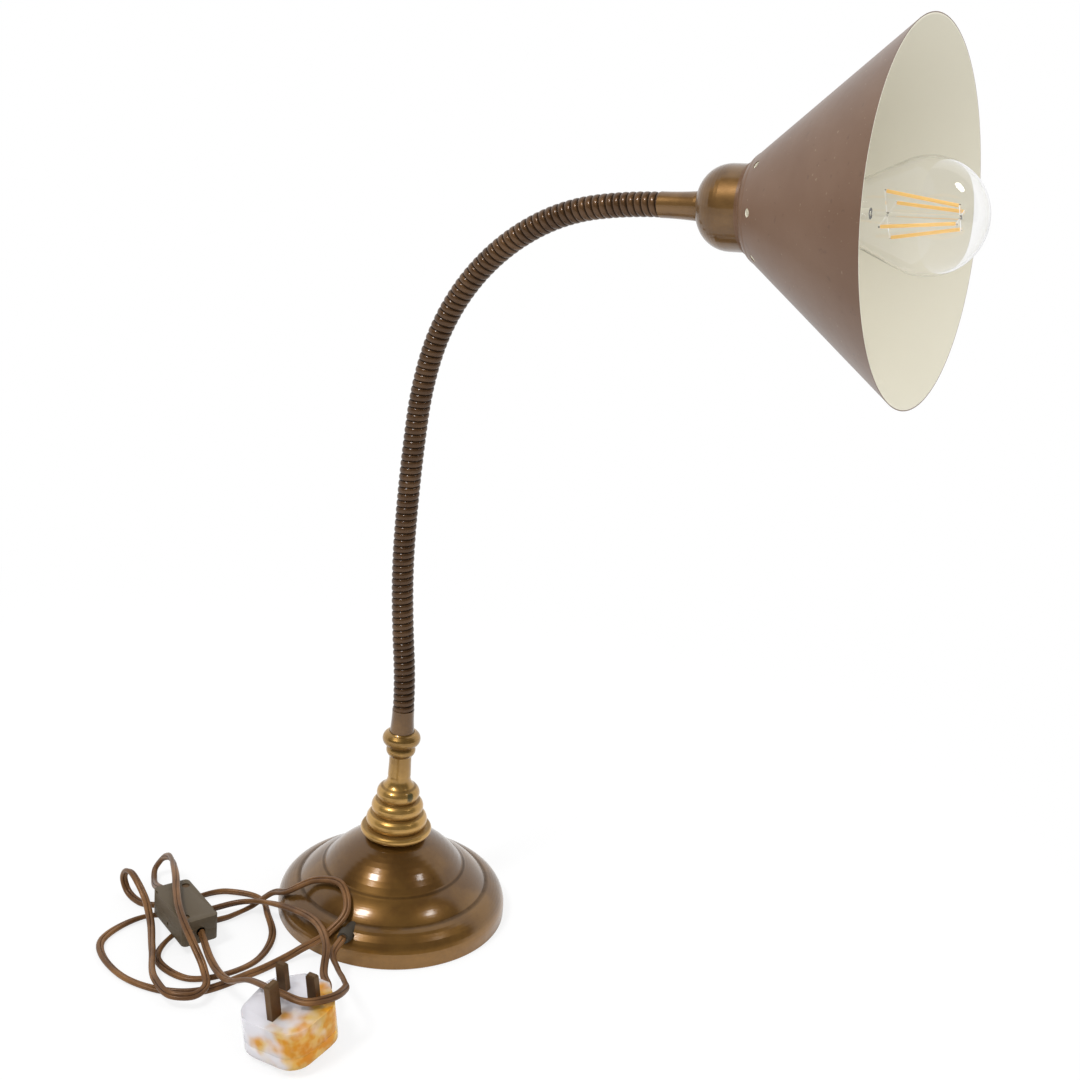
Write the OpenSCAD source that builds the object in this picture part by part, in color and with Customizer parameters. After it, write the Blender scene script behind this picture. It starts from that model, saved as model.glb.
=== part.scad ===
// Gooseneck desk lamp: stepped brass base, turned stem, wound flexible neck,
// cone shade with a clear filament bulb, and a flat flex with an inline switch
// and a three-pin plug. Origin: centre of the base's underside, +Z up, the neck
// bends towards +X. Millimetres.

/* [Base] */
// Diameter of the base at the table
base_d = 152; // [140:1:170]
// Height of the shell's top, where the stem stands
shell_h = 56.6; // [54:0.2:62]
// Thickness of the spun brass shell
shell_wall = 1.2; // [0.8:0.1:1.6]
// Height of the plain skirt under the outer tier
skirt_h = 6; // [4:0.5:8]
// Radius of the groove under the middle tier
outer_groove_r = 62.5; // [60:0.5:64]
// Height of the groove under the middle tier
outer_groove_z = 21.5; // [20:0.5:23]
// Radius of the ledge under the dome
ledge_r = 48.6; // [47:0.2:50]
// Height of the ledge under the dome
ledge_z = 32.6; // [31:0.2:34]
// Radius of the dome's foot
dome_r = 45.4; // [43:0.2:46]
// Height of the cast iron weight's top
weight_h = 14.6; // [13.6:0.2:14.8]
// Thickness of the felt under the base
felt_t = 1.5; // [1:0.5:2]

/* [Stem] */
// Radius of the stem's flange
flange_r = 23.6; // [22:0.2:25]
// Height of one bead over the flange
bead_h = 9.6; // [9:0.1:9.8]
// Radius that each bead loses to the one below
bead_step = 3; // [2.6:0.1:3.2]
// Radius of the stem's waist
waist_r = 7.3; // [7:0.1:8]
// Height of the collar's underside
collar_z = 112.5; // [110:0.5:114]
// Radius of the collar's upper bead
collar_r = 12.5; // [12:0.1:13.4]
// Radius of the threaded tube through base and stem
tube_r = 5; // [4.8:0.1:5.2]
// Bore of the threaded tube
tube_bore_r = 3.4; // [3:0.1:3.6]

/* [Neck] */
// Height at which the neck's first turn starts
neck_z = 145; // [143:0.5:147]
// Length of one stretch of turns
stretch_l = 39.3; // [36:0.1:42]
// Turns in one stretch
turns = 9; // [8:1:10]
// Radius over the turns
crest_r = 7; // [6.9:0.05:7.2]
// Radius in the grooves between the turns
groove_r = 6.2; // [6:0.05:6.4]
// Bore of the neck
neck_bore_r = 3.7; // [3.5:0.05:3.9]
// Radius of the ball at the foot of each stretch
ball_r = 5.7; // [5.5:0.05:5.8]
// Clearance between a ball and its socket
socket_gap = 0.08; // [0.05:0.01:0.1]
// Radius of the cable inside the neck
flex_r = 2.4; // [2.2:0.1:2.6]

/* [Head] */
// Radius of the ferrules at the neck
ferrule_small_r = 7.2; // [7.1:0.05:7.4]
// Radius of the ferrules at the wide end
ferrule_wide_r = 8.1; // [7.9:0.1:8.6]
// Length of the upper ferrule
ferrule_l = 25; // [23:0.5:27]
// Radius of the cup
cup_r = 23.3; // [22:0.1:24]
// Length of the cup
cup_l = 29.5; // [27.5:0.5:31]
// Wall of the cup
cup_wall = 1; // [0.8:0.1:1.4]
// Radius of the shade's rim
shade_rim_r = 97.6; // [90:0.2:105]
// Distance of the shade's rim from the neck's end
shade_rim_s = 146; // [140:0.5:152]
// Sheet thickness of the shade
shade_wall = 0.9; // [0.7:0.1:1.2]
// Number of vent holes in the shade
vents = 8; // [6:1:10]
// Diameter of a vent hole
vent_d = 4.6; // [3:0.2:6]
// Outside radius of the lampholder's barrel
barrel_r = 14.4; // [14:0.1:15]
// Largest radius of the bulb
bulb_r = 30; // [28:0.5:32]
// Distance of the bulb's widest point from the neck's end
bulb_s = 147.5; // [146:0.5:150]

/* [Switch] */
// Length of the switch housing
switch_l = 48; // [44:1:52]
// Width of the switch housing
switch_w = 24; // [22:0.5:26]
// Height of the switch housing
switch_h = 17; // [15:0.5:18]
// Angle that the rocker turns from one side to the other
rocker_swing = 16; // [10:1:20]

/* [Plug] */
// Width of the plug
plug_w = 50; // [48:0.5:52]
// Thickness of the plug, without its pins
plug_h = 27; // [25:0.5:29]
// Thickness of the plug's back cover
plug_cover_h = 10; // [8:0.5:12]

/* [Cord] */
// Diameter of the tubes that stand for the flat flex
cord_d = 4.8; // [4.4:0.1:5]

/* [Hidden] */
$fn = 64;
EPS = 0.01;

// ---------------------------------------------------------------- outlines

// Points of the arc from p to q that bulges by sag to the right of p -> q.
function arc_by_sag(p, q, sag, n = 10) =
    let (d = q - p, c = norm(d), side = [d[1], -d[0]] / c,
         r = (c * c / 4 + sag * sag) / (2 * abs(sag)), h = asin(min(1, c / 2 / r)),
         centre = (p + q) / 2 - side * sign(sag) * (r - abs(sag)))
    [for (k = [0 : n]) let (w = -h + 2 * h * k / n)
        centre + side * sign(sag) * r * cos(w) + d / c * r * sin(w)];

// Points of a circle's arc round c from angle a0 to a1.
function arc_about(c, r, a0, a1, n = 8) =
    [for (k = [0 : n]) let (a = a0 + (a1 - a0) * k / n) c + r * [cos(a), sin(a)]];

// Outline through corners [x, y, radius], all convex and anticlockwise, each rounded.
function rounded(corners, n = 6) =
    [for (i = [0 : len(corners) - 1])
        let (k = len(corners), v = xy(corners[i]), r = corners[i][2],
             u = unit(xy(corners[(i + k - 1) % k]) - v), w = unit(xy(corners[(i + 1) % k]) - v),
             half = acos(u * w) / 2, back = r / tan(half))
        each arc_by_sag(v + u * back, v + w * back, r * (1 - sin(half)), n)];

function xy(p) = [p[0], p[1]];
function unit(v) = v / norm(v);
function total(v, n) = n <= 0 ? 0 : v[n - 1] + total(v, n - 1);
function degrees(radians) = radians * 180 / PI;

// ---------------------------------------------------------------- base sizes

base_r = base_d / 2;
rest_gap = 0.4;
shell_seat_r = 12;
outer_tier_sag = 3.8;
middle_tier_sag = 0.9;
dome_sag = 3.4;
weight_gap = 0.6;
weight_bore_r = 14;
felt_margin = 2;

// Outer profile of the shell, from its hem up to the stem's seat.
function shell_outer(inset = 0) = concat(
    [[base_r - inset, rest_gap]],
    arc_by_sag([base_r - inset, skirt_h], [outer_groove_r - inset, outer_groove_z - inset],
               outer_tier_sag),
    arc_by_sag([outer_groove_r - 0.8 - inset, outer_groove_z + 0.4 - inset],
               [ledge_r - inset, ledge_z - inset], middle_tier_sag),
    arc_by_sag([dome_r - inset, ledge_z + 2 - inset],
               [shell_seat_r, shell_h - inset], dome_sag));

// ---------------------------------------------------------------- stem sizes

stem_z = shell_h + EPS;
flange_h = 4.8;
stem_beads = 3;
bead_r = flange_r - 3.4;
bead_sag = 2.1;
bead_top_z = stem_z + flange_h + stem_beads * bead_h;
collar_h = 17;
ferrule_seat_z = collar_z + 13.5;
tube_bottom_z = 4.5;
tube_top_z = collar_z + 20.5;
tube_play = 0.06;
thread_play = 0.02;
washer_seat_z = 12;
washer_r = 20;
washer_t = 1.6;
nut_h = 6;
nut_af = 15;

// ---------------------------------------------------------------- cable through the base

cord_entry_angle = -78;
cord_entry_z = 18.5;
entry_r = 3.6;
grommet_in_r = 60;
grommet_out_r = 76.6;
grommet_flange_r = 4.7;
grommet_head_l = 6;
grommet_play = 0.05;
elbow_r = 7;

// ---------------------------------------------------------------- neck sizes

// Bend of each stretch at rest, in degrees towards the head.
neck_bends = [-7, 3, 5, 2, 2, 10, 15, 15, 15, 17, 8];
stretches = len(neck_bends);
turn_pitch = stretch_l / turns;
turn_crest = 0.8;
turn_root = 1.2;
turn_shoulder_r = (groove_r + crest_r) / 2 + 0.05;
rim_gap = 0.95;
spigot_l = 8;
spigot_r = 5.9;
spigot_gap = 0.05;
ball_cut = 3.2;
ball_bore_r = 4;
flex_end_gap = 0.08;
flex_tip_r = 2.3;
flex_tip_inset = 0.5;
flex_join_l = 0.2;
flex_join_r = flex_r - 0.05;

function heading(i) = total(neck_bends, i);

// Step from the start of stretch i to its end.
function stretch_step(i) =
    let (a = heading(i), b = neck_bends[i])
    abs(b) < EPS
        ? [stretch_l * sin(a), 0, stretch_l * cos(a)]
        : degrees(stretch_l / b)
              * [cos(a) - cos(a + b), 0, sin(a + b) - sin(a)];

function border(i) = i == 0 ? [0, 0, neck_z] : border(i - 1) + stretch_step(i - 1);

// ---------------------------------------------------------------- head sizes

head_at = border(stretches);
head_tilt = heading(stretches);
nipple_bore_r = 3.2;
nipple_depth = 8.8;
cup_s = ferrule_l + EPS;
cup_end_s = cup_s + cup_l;
cup_dome_l = 17;
cup_back_r = 8;
cap_s = cup_s + 11;
cap_l = 12;
cap_r = 16;
cap_thread_l = 5;
barrel_s = cap_s + cap_l;
barrel_l = 42;
barrel_end_s = barrel_s + barrel_l;
barrel_bore_r = 11.5;
insert_s = barrel_s + 2;
insert_l = 20;
insert_end_s = insert_s + insert_l;
shade_neck_s = cup_end_s - 1.5;
shade_neck_r = cup_r + 0.3 + shade_wall;
shoulder_s = shade_neck_s + 7;
shoulder_r = shade_neck_r + 5.7;
cone_angle = atan2(shade_rim_r - shoulder_r, shade_rim_s - shoulder_s);
gallery_s = shoulder_s + 0.5;
gallery_t = 1.2;
gallery_cut = 5;
holder_collar_r = 18;
ring_l = 8;
ring_r = 19;
vent_s = shoulder_s + 7;
bulb_cap_s = insert_end_s + 4;
bulb_cap_l = 25;
bulb_cap_r = 11;
bulb_neck_r = 13.6;
glass_t = 0.8;
pin_s = bulb_cap_s + 7;
pin_r = 1;
slot_w = 2.8;
slot_turn = 16;
bulb_start_angle = 22;
filament_s = bulb_s - 20;
filament_l = 36;
filament_r = 13;
filament_thick_r = 0.9;
filament_tilt = 10.4;
filament_turn = 24;
// How far the edge of a tilted filament's end reaches past its middle
filament_dip = filament_thick_r * sin(filament_tilt) + 2 * EPS;
wire_r = 0.5;
mount_foot_up = 18;
mount_tube_l = 26;

// ---------------------------------------------------------------- switch sizes

switch_at = [-84.7, -109.2];
switch_turn = -23;
switch_top_z = 23;
switch_wall = 1.6;
switch_split = 9;
switch_corner = 3;
rocker_l = 16;
rocker_w = 9;
rocker_gap = 0.3;
rocker_pivot = switch_h - 3.8;
rocker_top = switch_h + 0.5;
bezel_h = 0.6;
bezel_w = 1.6;
pivot_r = 1.2;
pivot_play = 0.06;

// ---------------------------------------------------------------- plug sizes

plug_at = [43, -162, 30.5];
plug_turn = [4, 6, -89];
plug_end = 22;
plug_end_r = 14;
plug_entry = 28;
plug_wall = 2.4;
plug_front_t = 3;
earth_at = [11.1, 0];
live_at = [-11.1, 11.1];
earth_size = [8, 4, 22.7];
live_size = [4, 6.35, 17.7];
earth_block = [10, 7, 9];
live_block = [7, 8, 8];
plug_rim = 3;
pin_play = 0.05;
fuse_r = 3.17;
fuse_l = 25.4;
fuse_in = 1.4;

// ---------------------------------------------------------------- cord routes

// The flex from the base's grommet, over the plug, to the switch.
route_to_switch = [
    [16, -75.4, 18.5], [19.5, -89, 17], [33, -102, 18.5], [50, -118, 26],
    [62, -133, 33.5], [64.5, -147, 37], [56, -159, 36.5], [36, -161.5, 36],
    [12, -157, 31], [-14, -148, 15.5], [-42, -132, 9.5], [-62.3, -118.7, 14],
];

// The flex from the switch, through its loose loops, to the plug.
route_to_plug = [
    [-107.1, -99.7, 14], [-120, -94.2, 11], [-132, -87, 5.5],
    [-141.5, -79, 2.6], [-147, -72.5, 6], [-144.5, -68.8, 12.5],
    [-137, -71, 18.5], [-127, -77.5, 22.6], [-116, -87, 25.6],
    [-105, -97, 27.5], [-92, -110, 27.8], [-79, -121.5, 27.2],
    [-63, -132.5, 25.5], [-48, -140, 20.5], [-36, -145, 13], [-27, -152.5, 8.5],
    [-26, -164, 8.5], [-36, -171.5, 8.5], [-55, -166, 8], [-80, -143.5, 8],
    [-106.5, -119, 9], [-119, -111, 14], [-128, -108, 19.5],
    [-137.5, -104.5, 21.7], [-145, -101.8, 18.3], [-148, -100.7, 12],
    [-145, -101.2, 5.6], [-137, -102.6, 2.6], [-127, -103.5, 2.6],
    [-117, -98, 2.6], [-93, -59, 2.6], [-70, -52.5, 2.6], [-54, -64, 2.6],
    [-37, -79.5, 2.6], [-26.5, -110, 2.6], [-48, -147, 2.6], [-76, -143, 2.6],
    [-86, -116, 2.6], [-72, -80, 2.6], [-67.5, -64, 4.2], [-57.5, -55.5, 13.5],
    [-44.5, -58, 20.5], [-27, -50, 32], [-4, -51, 37], [8, -62, 28],
    [4, -75, 17.5], [-9, -86, 6], [-18, -115, 2.6], [-36, -156, 2.6],
    [-80, -169, 2.6], [-117, -150, 2.6], [-116, -116, 2.6], [-94, -94, 2.6],
    [-70, -69, 8.5], [-30, -69, 18.5], [1, -80, 24], [17, -93, 23],
    [29, -110, 16.2], [38.5, -118, 16.8], [43.2, -126.5, 17.2], [43.8, -135.5, 16.3],
];
ring_step = 30;
cord_sides = 10;

// Direction of a route at its point i.
function slope_at(p, i) =
    i == 0 ? unit(p[1] - p[0])
    : i == len(p) - 1 ? unit(p[i] - p[i - 1])
    : let (a = p[i] - p[i - 1], b = p[i + 1] - p[i], la = norm(a), lb = norm(b))
        (a / la * lb + b / lb * la) / (la + lb);

// Point at t of the span from p[i] to p[i + 1], no lower than the cord lies.
function on_span(p, i, t) =
    let (d = norm(p[i + 1] - p[i]), h = t * t * (3 - 2 * t),
         q = p[i] * (1 - h) + p[i + 1] * h
             + d * (slope_at(p, i) * t * pow(1 - t, 2) - slope_at(p, i + 1) * t * t * (1 - t)))
    [q[0], q[1], max(q[2], cord_d / 2 + 0.1)];

// Ring centres along a route.
function smooth_route(p) =
    [for (i = [0 : len(p) - 2])
        let (n = ceil(norm(p[i + 1] - p[i]) / ring_step))
        for (k = [0 : n - 1]) on_span(p, i, k / n),
     p[len(p) - 1]];

// ---------------------------------------------------------------- helpers

// Arc-shaped rod of radius r along a stretch bent by b, from s0 to s1.
module bent_rod(r, b, s0, s1) {
    if (abs(b) < EPS) {
        translate([0, 0, s0]) cylinder(r = r, h = s1 - s0);
    } else {
        turn_r = degrees(stretch_l / abs(b));
        a0 = abs(b) * s0 / stretch_l;
        a1 = abs(b) * s1 / stretch_l;
        mirror([b < 0 ? 1 : 0, 0, 0])
            translate([turn_r, 0, 0])
                rotate([90, 0, 0])
                    rotate([0, 0, 180 - a1])
                        rotate_extrude(angle = a1 - a0)
                            translate([turn_r, 0]) circle(r = r);
    }
}

// Places children at length s along a stretch bent by b.
module along(b, s) {
    if (abs(b) < EPS) {
        translate([0, 0, s]) children();
    } else {
        turn_r = degrees(stretch_l / b);
        a = b * s / stretch_l;
        translate([turn_r * (1 - cos(a)), 0, turn_r * sin(a)])
            rotate([0, a, 0]) children();
    }
}

// Places children in the frame of stretch i.
module at_stretch(i) {
    translate(border(i)) rotate([0, heading(i), 0]) children();
}

// Places children in the head's frame: +Z from the neck's end to the rim.
module at_head(s = 0) {
    translate(head_at) rotate([0, head_tilt, 0]) translate([0, 0, s]) children();
}

// Solid of revolution with a bore.
module turned(profile, bore_r, z0, z1) {
    difference() {
        rotate_extrude() polygon(profile);
        translate([0, 0, z0 - 1]) cylinder(r = bore_r, h = z1 - z0 + 2);
    }
}

// ---------------------------------------------------------------- base

module base_shell() {
    outer = shell_outer();
    inner = shell_outer(shell_wall);
    last = len(inner) - 1;
    color("peru")
        difference() {
            rotate_extrude()
                polygon(concat(
                    outer,
                    [[tube_r + tube_play, shell_h], [tube_r + tube_play, shell_h - shell_wall]],
                    [for (i = [last : -1 : 0]) inner[i]]));
            rotate([0, 0, cord_entry_angle])
                translate([grommet_in_r, 0, cord_entry_z])
                    rotate([0, 90, 0]) {
                        cylinder(r = entry_r + grommet_play, h = 30);
                        translate([0, 0, grommet_out_r - grommet_in_r - grommet_head_l - grommet_play])
                            cylinder(r = grommet_flange_r + grommet_play, h = 20);
                    }
        }
}

module base_weight() {
    r = base_r - shell_wall - weight_gap;
    color("dimgray")
        difference() {
            rotate_extrude()
                polygon([[weight_bore_r, felt_t + EPS], [r, felt_t + EPS], [r, skirt_h],
                         [outer_groove_r + 2, weight_h - 2], [outer_groove_r - 2, weight_h],
                         [weight_bore_r, weight_h]]);
            translate([0, 0, felt_t - 1]) cylinder(r = washer_r + 0.3, h = washer_seat_z - felt_t + 1);
        }
}

module base_felt() {
    color("darkgreen")
        cylinder(r = base_r - felt_margin, h = felt_t);
}

module tube_washer() {
    color("silver")
        translate([0, 0, washer_seat_z - washer_t])
            difference() {
                cylinder(r = washer_r, h = washer_t - EPS);
                translate([0, 0, -1]) cylinder(r = tube_r + 0.3, h = washer_t + 2);
            }
}

module hex_nut(af, h, bore_r) {
    difference() {
        cylinder(r = af / 2 / cos(30), h = h, $fn = 6);
        translate([0, 0, -1]) cylinder(r = bore_r, h = h + 2);
    }
}

module tube_nut() {
    color("silver")
        translate([0, 0, washer_seat_z - washer_t - nut_h])
            hex_nut(nut_af, nut_h - EPS, tube_r + thread_play);
}

module threaded_tube() {
    window_w = 2 * (flex_r + 0.5);
    window_h = elbow_r + 2 * flex_r + 1;
    color("gold")
        difference() {
            translate([0, 0, tube_bottom_z]) cylinder(r = tube_r, h = tube_top_z - tube_bottom_z);
            translate([0, 0, tube_bottom_z - 1]) cylinder(r = tube_bore_r, h = tube_top_z);
            rotate([0, 0, cord_entry_angle])
                translate([0, -window_w / 2, cord_entry_z - flex_r - 0.5])
                    cube([tube_r + 2, window_w, window_h]);
        }
}

module cord_grommet() {
    l = grommet_out_r - grommet_in_r;
    color("darkolivegreen")
        rotate([0, 0, cord_entry_angle])
            translate([grommet_in_r, 0, cord_entry_z])
                rotate([0, 90, 0])
                    difference() {
                        rotate_extrude()
                            polygon([[0, 0], [entry_r, 0], [entry_r, l - grommet_head_l],
                                     [grommet_flange_r, l - grommet_head_l], [grommet_flange_r, l - 3.4],
                                     [grommet_flange_r - 0.8, l], [0, l]]);
                        translate([0, 0, -1]) cylinder(r = flex_r + 0.1, h = l + 2);
                    }
}

// ---------------------------------------------------------------- stem

// Profile of the stem's foot: flange, beads that shrink upwards, flared waist.
function stem_profile() = concat(
    [[0, stem_z]],
    arc_by_sag([flange_r - 1.4, stem_z], [flange_r - 1.8, stem_z + flange_h], 1.6),
    [for (k = [0 : stem_beads - 1])
        let (z = stem_z + flange_h + k * bead_h, r = bead_r - k * bead_step)
        each arc_by_sag([r - 1.6, z + 0.4], [r - 2.6, z + bead_h - 0.4], bead_sag)],
    arc_by_sag([waist_r + 3.2, bead_top_z + 0.4], [waist_r + 0.3, bead_top_z + 8], -1.1),
    [[waist_r, bead_top_z + 17], [waist_r, collar_z - EPS], [0, collar_z - EPS]]);

module stem_foot() {
    color("goldenrod")
        turned(stem_profile(), tube_r + tube_play, stem_z, collar_z);
}

module stem_collar() {
    top = collar_z + collar_h;
    color("goldenrod")
        difference() {
            rotate_extrude()
                polygon(concat(
                    [[0, collar_z], [waist_r + 0.6, collar_z]],
                    arc_by_sag([waist_r + 1, collar_z + 0.6], [waist_r + 1, collar_z + 7], 1.35),
                    arc_by_sag([collar_r - 3, collar_z + 7.4], [collar_r - 3.4, top - 0.4], 3.2),
                    [[ferrule_wide_r + 0.6, top], [0, top]]));
            translate([0, 0, collar_z - 1]) cylinder(r = tube_r + tube_play, h = collar_h + 2);
            translate([0, 0, ferrule_seat_z]) cylinder(r = ferrule_wide_r + 0.08, h = collar_h);
        }
}

// Tapered sleeve: wide at z = 0, small at z = l.
module ferrule(l, thread_l, thread_r) {
    difference() {
        rotate_extrude()
            polygon(concat(
                [[0, 0], [ferrule_wide_r, 0], [ferrule_wide_r, 2]],
                arc_by_sag([ferrule_wide_r, 3], [ferrule_small_r, l], -0.25),
                [[0, l]]));
        translate([0, 0, -1]) cylinder(r = thread_r, h = thread_l + 1);
        translate([0, 0, -1]) cylinder(r = neck_bore_r, h = l + 2);
        translate([0, 0, l - spigot_l - 0.2]) cylinder(r = spigot_r + spigot_gap, h = spigot_l + 1);
    }
}

module lower_ferrule() {
    z = ferrule_seat_z + EPS;
    color("goldenrod")
        translate([0, 0, z]) ferrule(neck_z - z, tube_top_z - z + 0.3, tube_r + thread_play);
}

// ---------------------------------------------------------------- neck

// One turn of the wound strip at length s along a stretch: a crest on two shoulders.
module neck_turn(b, s) {
    bent_rod(turn_shoulder_r, b, s - turn_root, s + turn_root);
    bent_rod(crest_r, b, s - turn_crest, s + turn_crest);
}

module neck_turns(i) {
    b = neck_bends[i];
    first = i == 0;
    last = i == stretches - 1;
    s0 = first ? 0 : rim_gap;
    s1 = last ? stretch_l : stretch_l - rim_gap;
    color("saddlebrown")
        at_stretch(i)
            difference() {
                union() {
                    bent_rod(groove_r, b, s0, s1);
                    for (k = [0 : turns - 1]) neck_turn(b, (k + 0.5) * turn_pitch);
                    if (first) {
                        translate([0, 0, -spigot_l]) cylinder(r = spigot_r, h = spigot_l + 1);
                    } else {
                        sphere(r = ball_r);
                    }
                    if (last) along(b, stretch_l - 1) cylinder(r = spigot_r, h = spigot_l + 1);
                }
                bent_rod(neck_bore_r, b, -0.5, stretch_l + 0.5);
                translate([0, 0, -spigot_l - 2]) cylinder(r = ball_bore_r, h = spigot_l + 2);
                if (!first) translate([0, 0, -ball_cut - 10]) cylinder(r = crest_r + 1, h = 10);
                if (last) {
                    along(b, stretch_l) cylinder(r = ball_bore_r, h = spigot_l + 4);
                } else {
                    along(b, stretch_l) sphere(r = ball_r + socket_gap);
                }
            }
}

module neck_flex(i) {
    b = neck_bends[i];
    first = i == 0;
    last = i == stretches - 1;
    tip = flex_end_gap + flex_tip_r - flex_tip_inset;
    s0 = first ? 0 : tip;
    s1 = last ? stretch_l : stretch_l - tip;
    color("sienna")
        union() {
            at_stretch(i) {
                bent_rod(flex_r, b, s0, s1);
                if (!first) along(b, s0 + flex_tip_inset) sphere(r = flex_tip_r);
                if (!last) along(b, s1 - flex_tip_inset) sphere(r = flex_tip_r);
                if (last) along(b, stretch_l - flex_join_l) cylinder(r = flex_join_r, h = insert_s - 1);
            }
            if (first) flex_in_base();
        }
}

// The cable from the grommet to the tube's window, and up the tube.
module flex_in_base() {
    run = grommet_out_r - elbow_r + flex_join_l;
    rotate([0, 0, cord_entry_angle]) {
        translate([elbow_r - flex_join_l, 0, cord_entry_z])
            rotate([0, 90, 0]) cylinder(r = flex_join_r, h = run);
        translate([elbow_r, 0, cord_entry_z + elbow_r])
            rotate([90, 0, 0])
                rotate([0, 0, 180])
                    rotate_extrude(angle = 90) translate([elbow_r, 0]) circle(r = flex_r);
    }
    translate([0, 0, cord_entry_z + elbow_r - flex_join_l])
        cylinder(r = flex_join_r, h = neck_z - cord_entry_z - elbow_r + 2 * flex_join_l);
}

// ---------------------------------------------------------------- head

module upper_ferrule() {
    color("goldenrod")
        at_head(ferrule_l)
            mirror([0, 0, 1]) ferrule(ferrule_l, nipple_depth + 0.2, tube_r + thread_play);
}

module holder_nipple() {
    l = cap_s + cap_thread_l - ferrule_l + nipple_depth;
    color("gold")
        at_head(ferrule_l - nipple_depth)
            difference() {
                cylinder(r = tube_r, h = l);
                translate([0, 0, -1]) cylinder(r = nipple_bore_r, h = l + 2);
            }
}

// Dome of the cup: quarter of an ellipse from the back's edge to the straight wall.
function cup_curve(r, l, n = 12) =
    [for (k = [0 : n]) let (a = 90 * k / n)
        [cup_back_r + (r - cup_back_r) * sin(a), l * (1 - cos(a))]];

module holder_cup() {
    inner = cup_curve(cup_r - cup_wall, cup_dome_l - cup_wall);
    last = len(inner) - 1;
    color("peru")
        at_head(cup_s)
            rotate_extrude()
                polygon(concat(
                    [[tube_r + tube_play, 0]], cup_curve(cup_r, cup_dome_l),
                    [[cup_r, cup_l], [cup_r - cup_wall, cup_l]],
                    [for (k = [last : -1 : 0]) inner[k] + [0, cup_wall]],
                    [[tube_r + tube_play, cup_wall]]));
}

module cup_nut() {
    color("silver")
        at_head(cup_s + cup_wall + 3 * EPS) hex_nut(nut_af, 5, tube_r + thread_play);
}

module holder_cap() {
    color("goldenrod")
        at_head(cap_s)
            difference() {
                rotate_extrude()
                    polygon(concat(
                        [[0, 0], [7.5, 0]], arc_by_sag([8, 0.6], [cap_r, cap_l - 3], 2),
                        [[cap_r, cap_l - EPS], [0, cap_l - EPS]]));
                translate([0, 0, -1]) cylinder(r = tube_r + thread_play, h = cap_l);
                translate([0, 0, cap_thread_l + 1]) cylinder(r = barrel_bore_r, h = cap_l);
            }
}

// One J-shaped slot: in from the mouth, then round to the seat at angle 0.
module bayonet_slot() {
    z = pin_s - barrel_s - slot_w / 2;
    r = barrel_bore_r - 1;
    t = barrel_r - r + 1;
    half_run = barrel_r * sin(slot_turn / 2);
    rotate([0, 0, slot_turn])
        translate([r, -slot_w / 2, z + slot_w / 2]) cube([t, slot_w, barrel_l - z]);
    rotate([0, 0, slot_turn / 2])
        translate([r, -half_run - slot_w / 2, z]) cube([t, 2 * half_run + slot_w / 2, slot_w]);
}

module holder_barrel() {
    collar_t = 2.2;
    color("gold")
        at_head(barrel_s)
            difference() {
                union() {
                    cylinder(r = barrel_r, h = barrel_l);
                    cylinder(r = cap_r, h = 3);
                    translate([0, 0, gallery_s - barrel_s - collar_t])
                        cylinder(r = holder_collar_r, h = collar_t - EPS);
                }
                translate([0, 0, -1]) cylinder(r = barrel_bore_r, h = barrel_l + 2);
                for (a = [0, 180]) rotate([0, 0, a]) bayonet_slot();
            }
}

plunger_y = 5;
plunger_r = 2.1;
plunger_tip_r = 1.6;
plunger_seat = 6;

module insulator_insert() {
    color("black")
        at_head(insert_s)
            difference() {
                cylinder(r = barrel_bore_r - 0.06, h = insert_l);
                for (y = [-plunger_y, plunger_y])
                    translate([0, y, plunger_seat]) cylinder(r = plunger_r + 0.08, h = insert_l);
                translate([0, 0, -1]) cylinder(r = flex_r + 0.3, h = 4);
            }
}

module contact_plungers() {
    color("gold")
        at_head(insert_s + plunger_seat + EPS)
            for (y = [-plunger_y, plunger_y])
                translate([0, y, 0]) {
                    cylinder(r = plunger_r, h = insert_l - plunger_seat - 3);
                    cylinder(r = plunger_tip_r, h = bulb_cap_s - insert_s - plunger_seat - 2 * EPS);
                }
}

module shade_ring() {
    color("gold")
        at_head(gallery_s + gallery_t + EPS)
            difference() {
                union() {
                    cylinder(r = ring_r, h = 2.4);
                    cylinder(r = ring_r - 1.5, h = ring_l);
                }
                translate([0, 0, -1]) cylinder(r = barrel_r + 0.06, h = ring_l + 2);
            }
}

// Profile of the shade, moved in by inset at right angles to its cone.
function shade_profile(inset) =
    let (dr = inset * cos(cone_angle), ds = inset * sin(cone_angle))
    concat(
        [[shade_neck_r - inset, shade_neck_s], [shade_neck_r - inset, shade_neck_s + 1.6 + ds]],
        arc_by_sag([shade_neck_r + 0.2 - inset, shade_neck_s + 2.0 + ds],
                   [shoulder_r - dr, shoulder_s + ds], 0.7, 6),
        [[shade_rim_r - inset / cos(cone_angle), shade_rim_s]]);

module shade() {
    inner = shade_profile(shade_wall);
    last = len(inner) - 1;
    color("rosybrown")
        at_head()
            difference() {
                union() {
                    rotate_extrude()
                        polygon(concat(shade_profile(0), [for (i = [last : -1 : 0]) inner[i]]));
                    translate([0, 0, gallery_s]) cylinder(r = shoulder_r + 0.2, h = gallery_t);
                }
                translate([0, 0, gallery_s - gallery_cut]) cylinder(r = barrel_r + 0.06, h = 2 * gallery_cut);
                for (k = [0 : vents - 1])
                    rotate([0, 0, 360 / vents * k])
                        translate([shoulder_r, 0, vent_s])
                            rotate([0, 90 + cone_angle, 0]) cylinder(d = vent_d, h = 12);
            }
}

// ---------------------------------------------------------------- bulb

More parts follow.
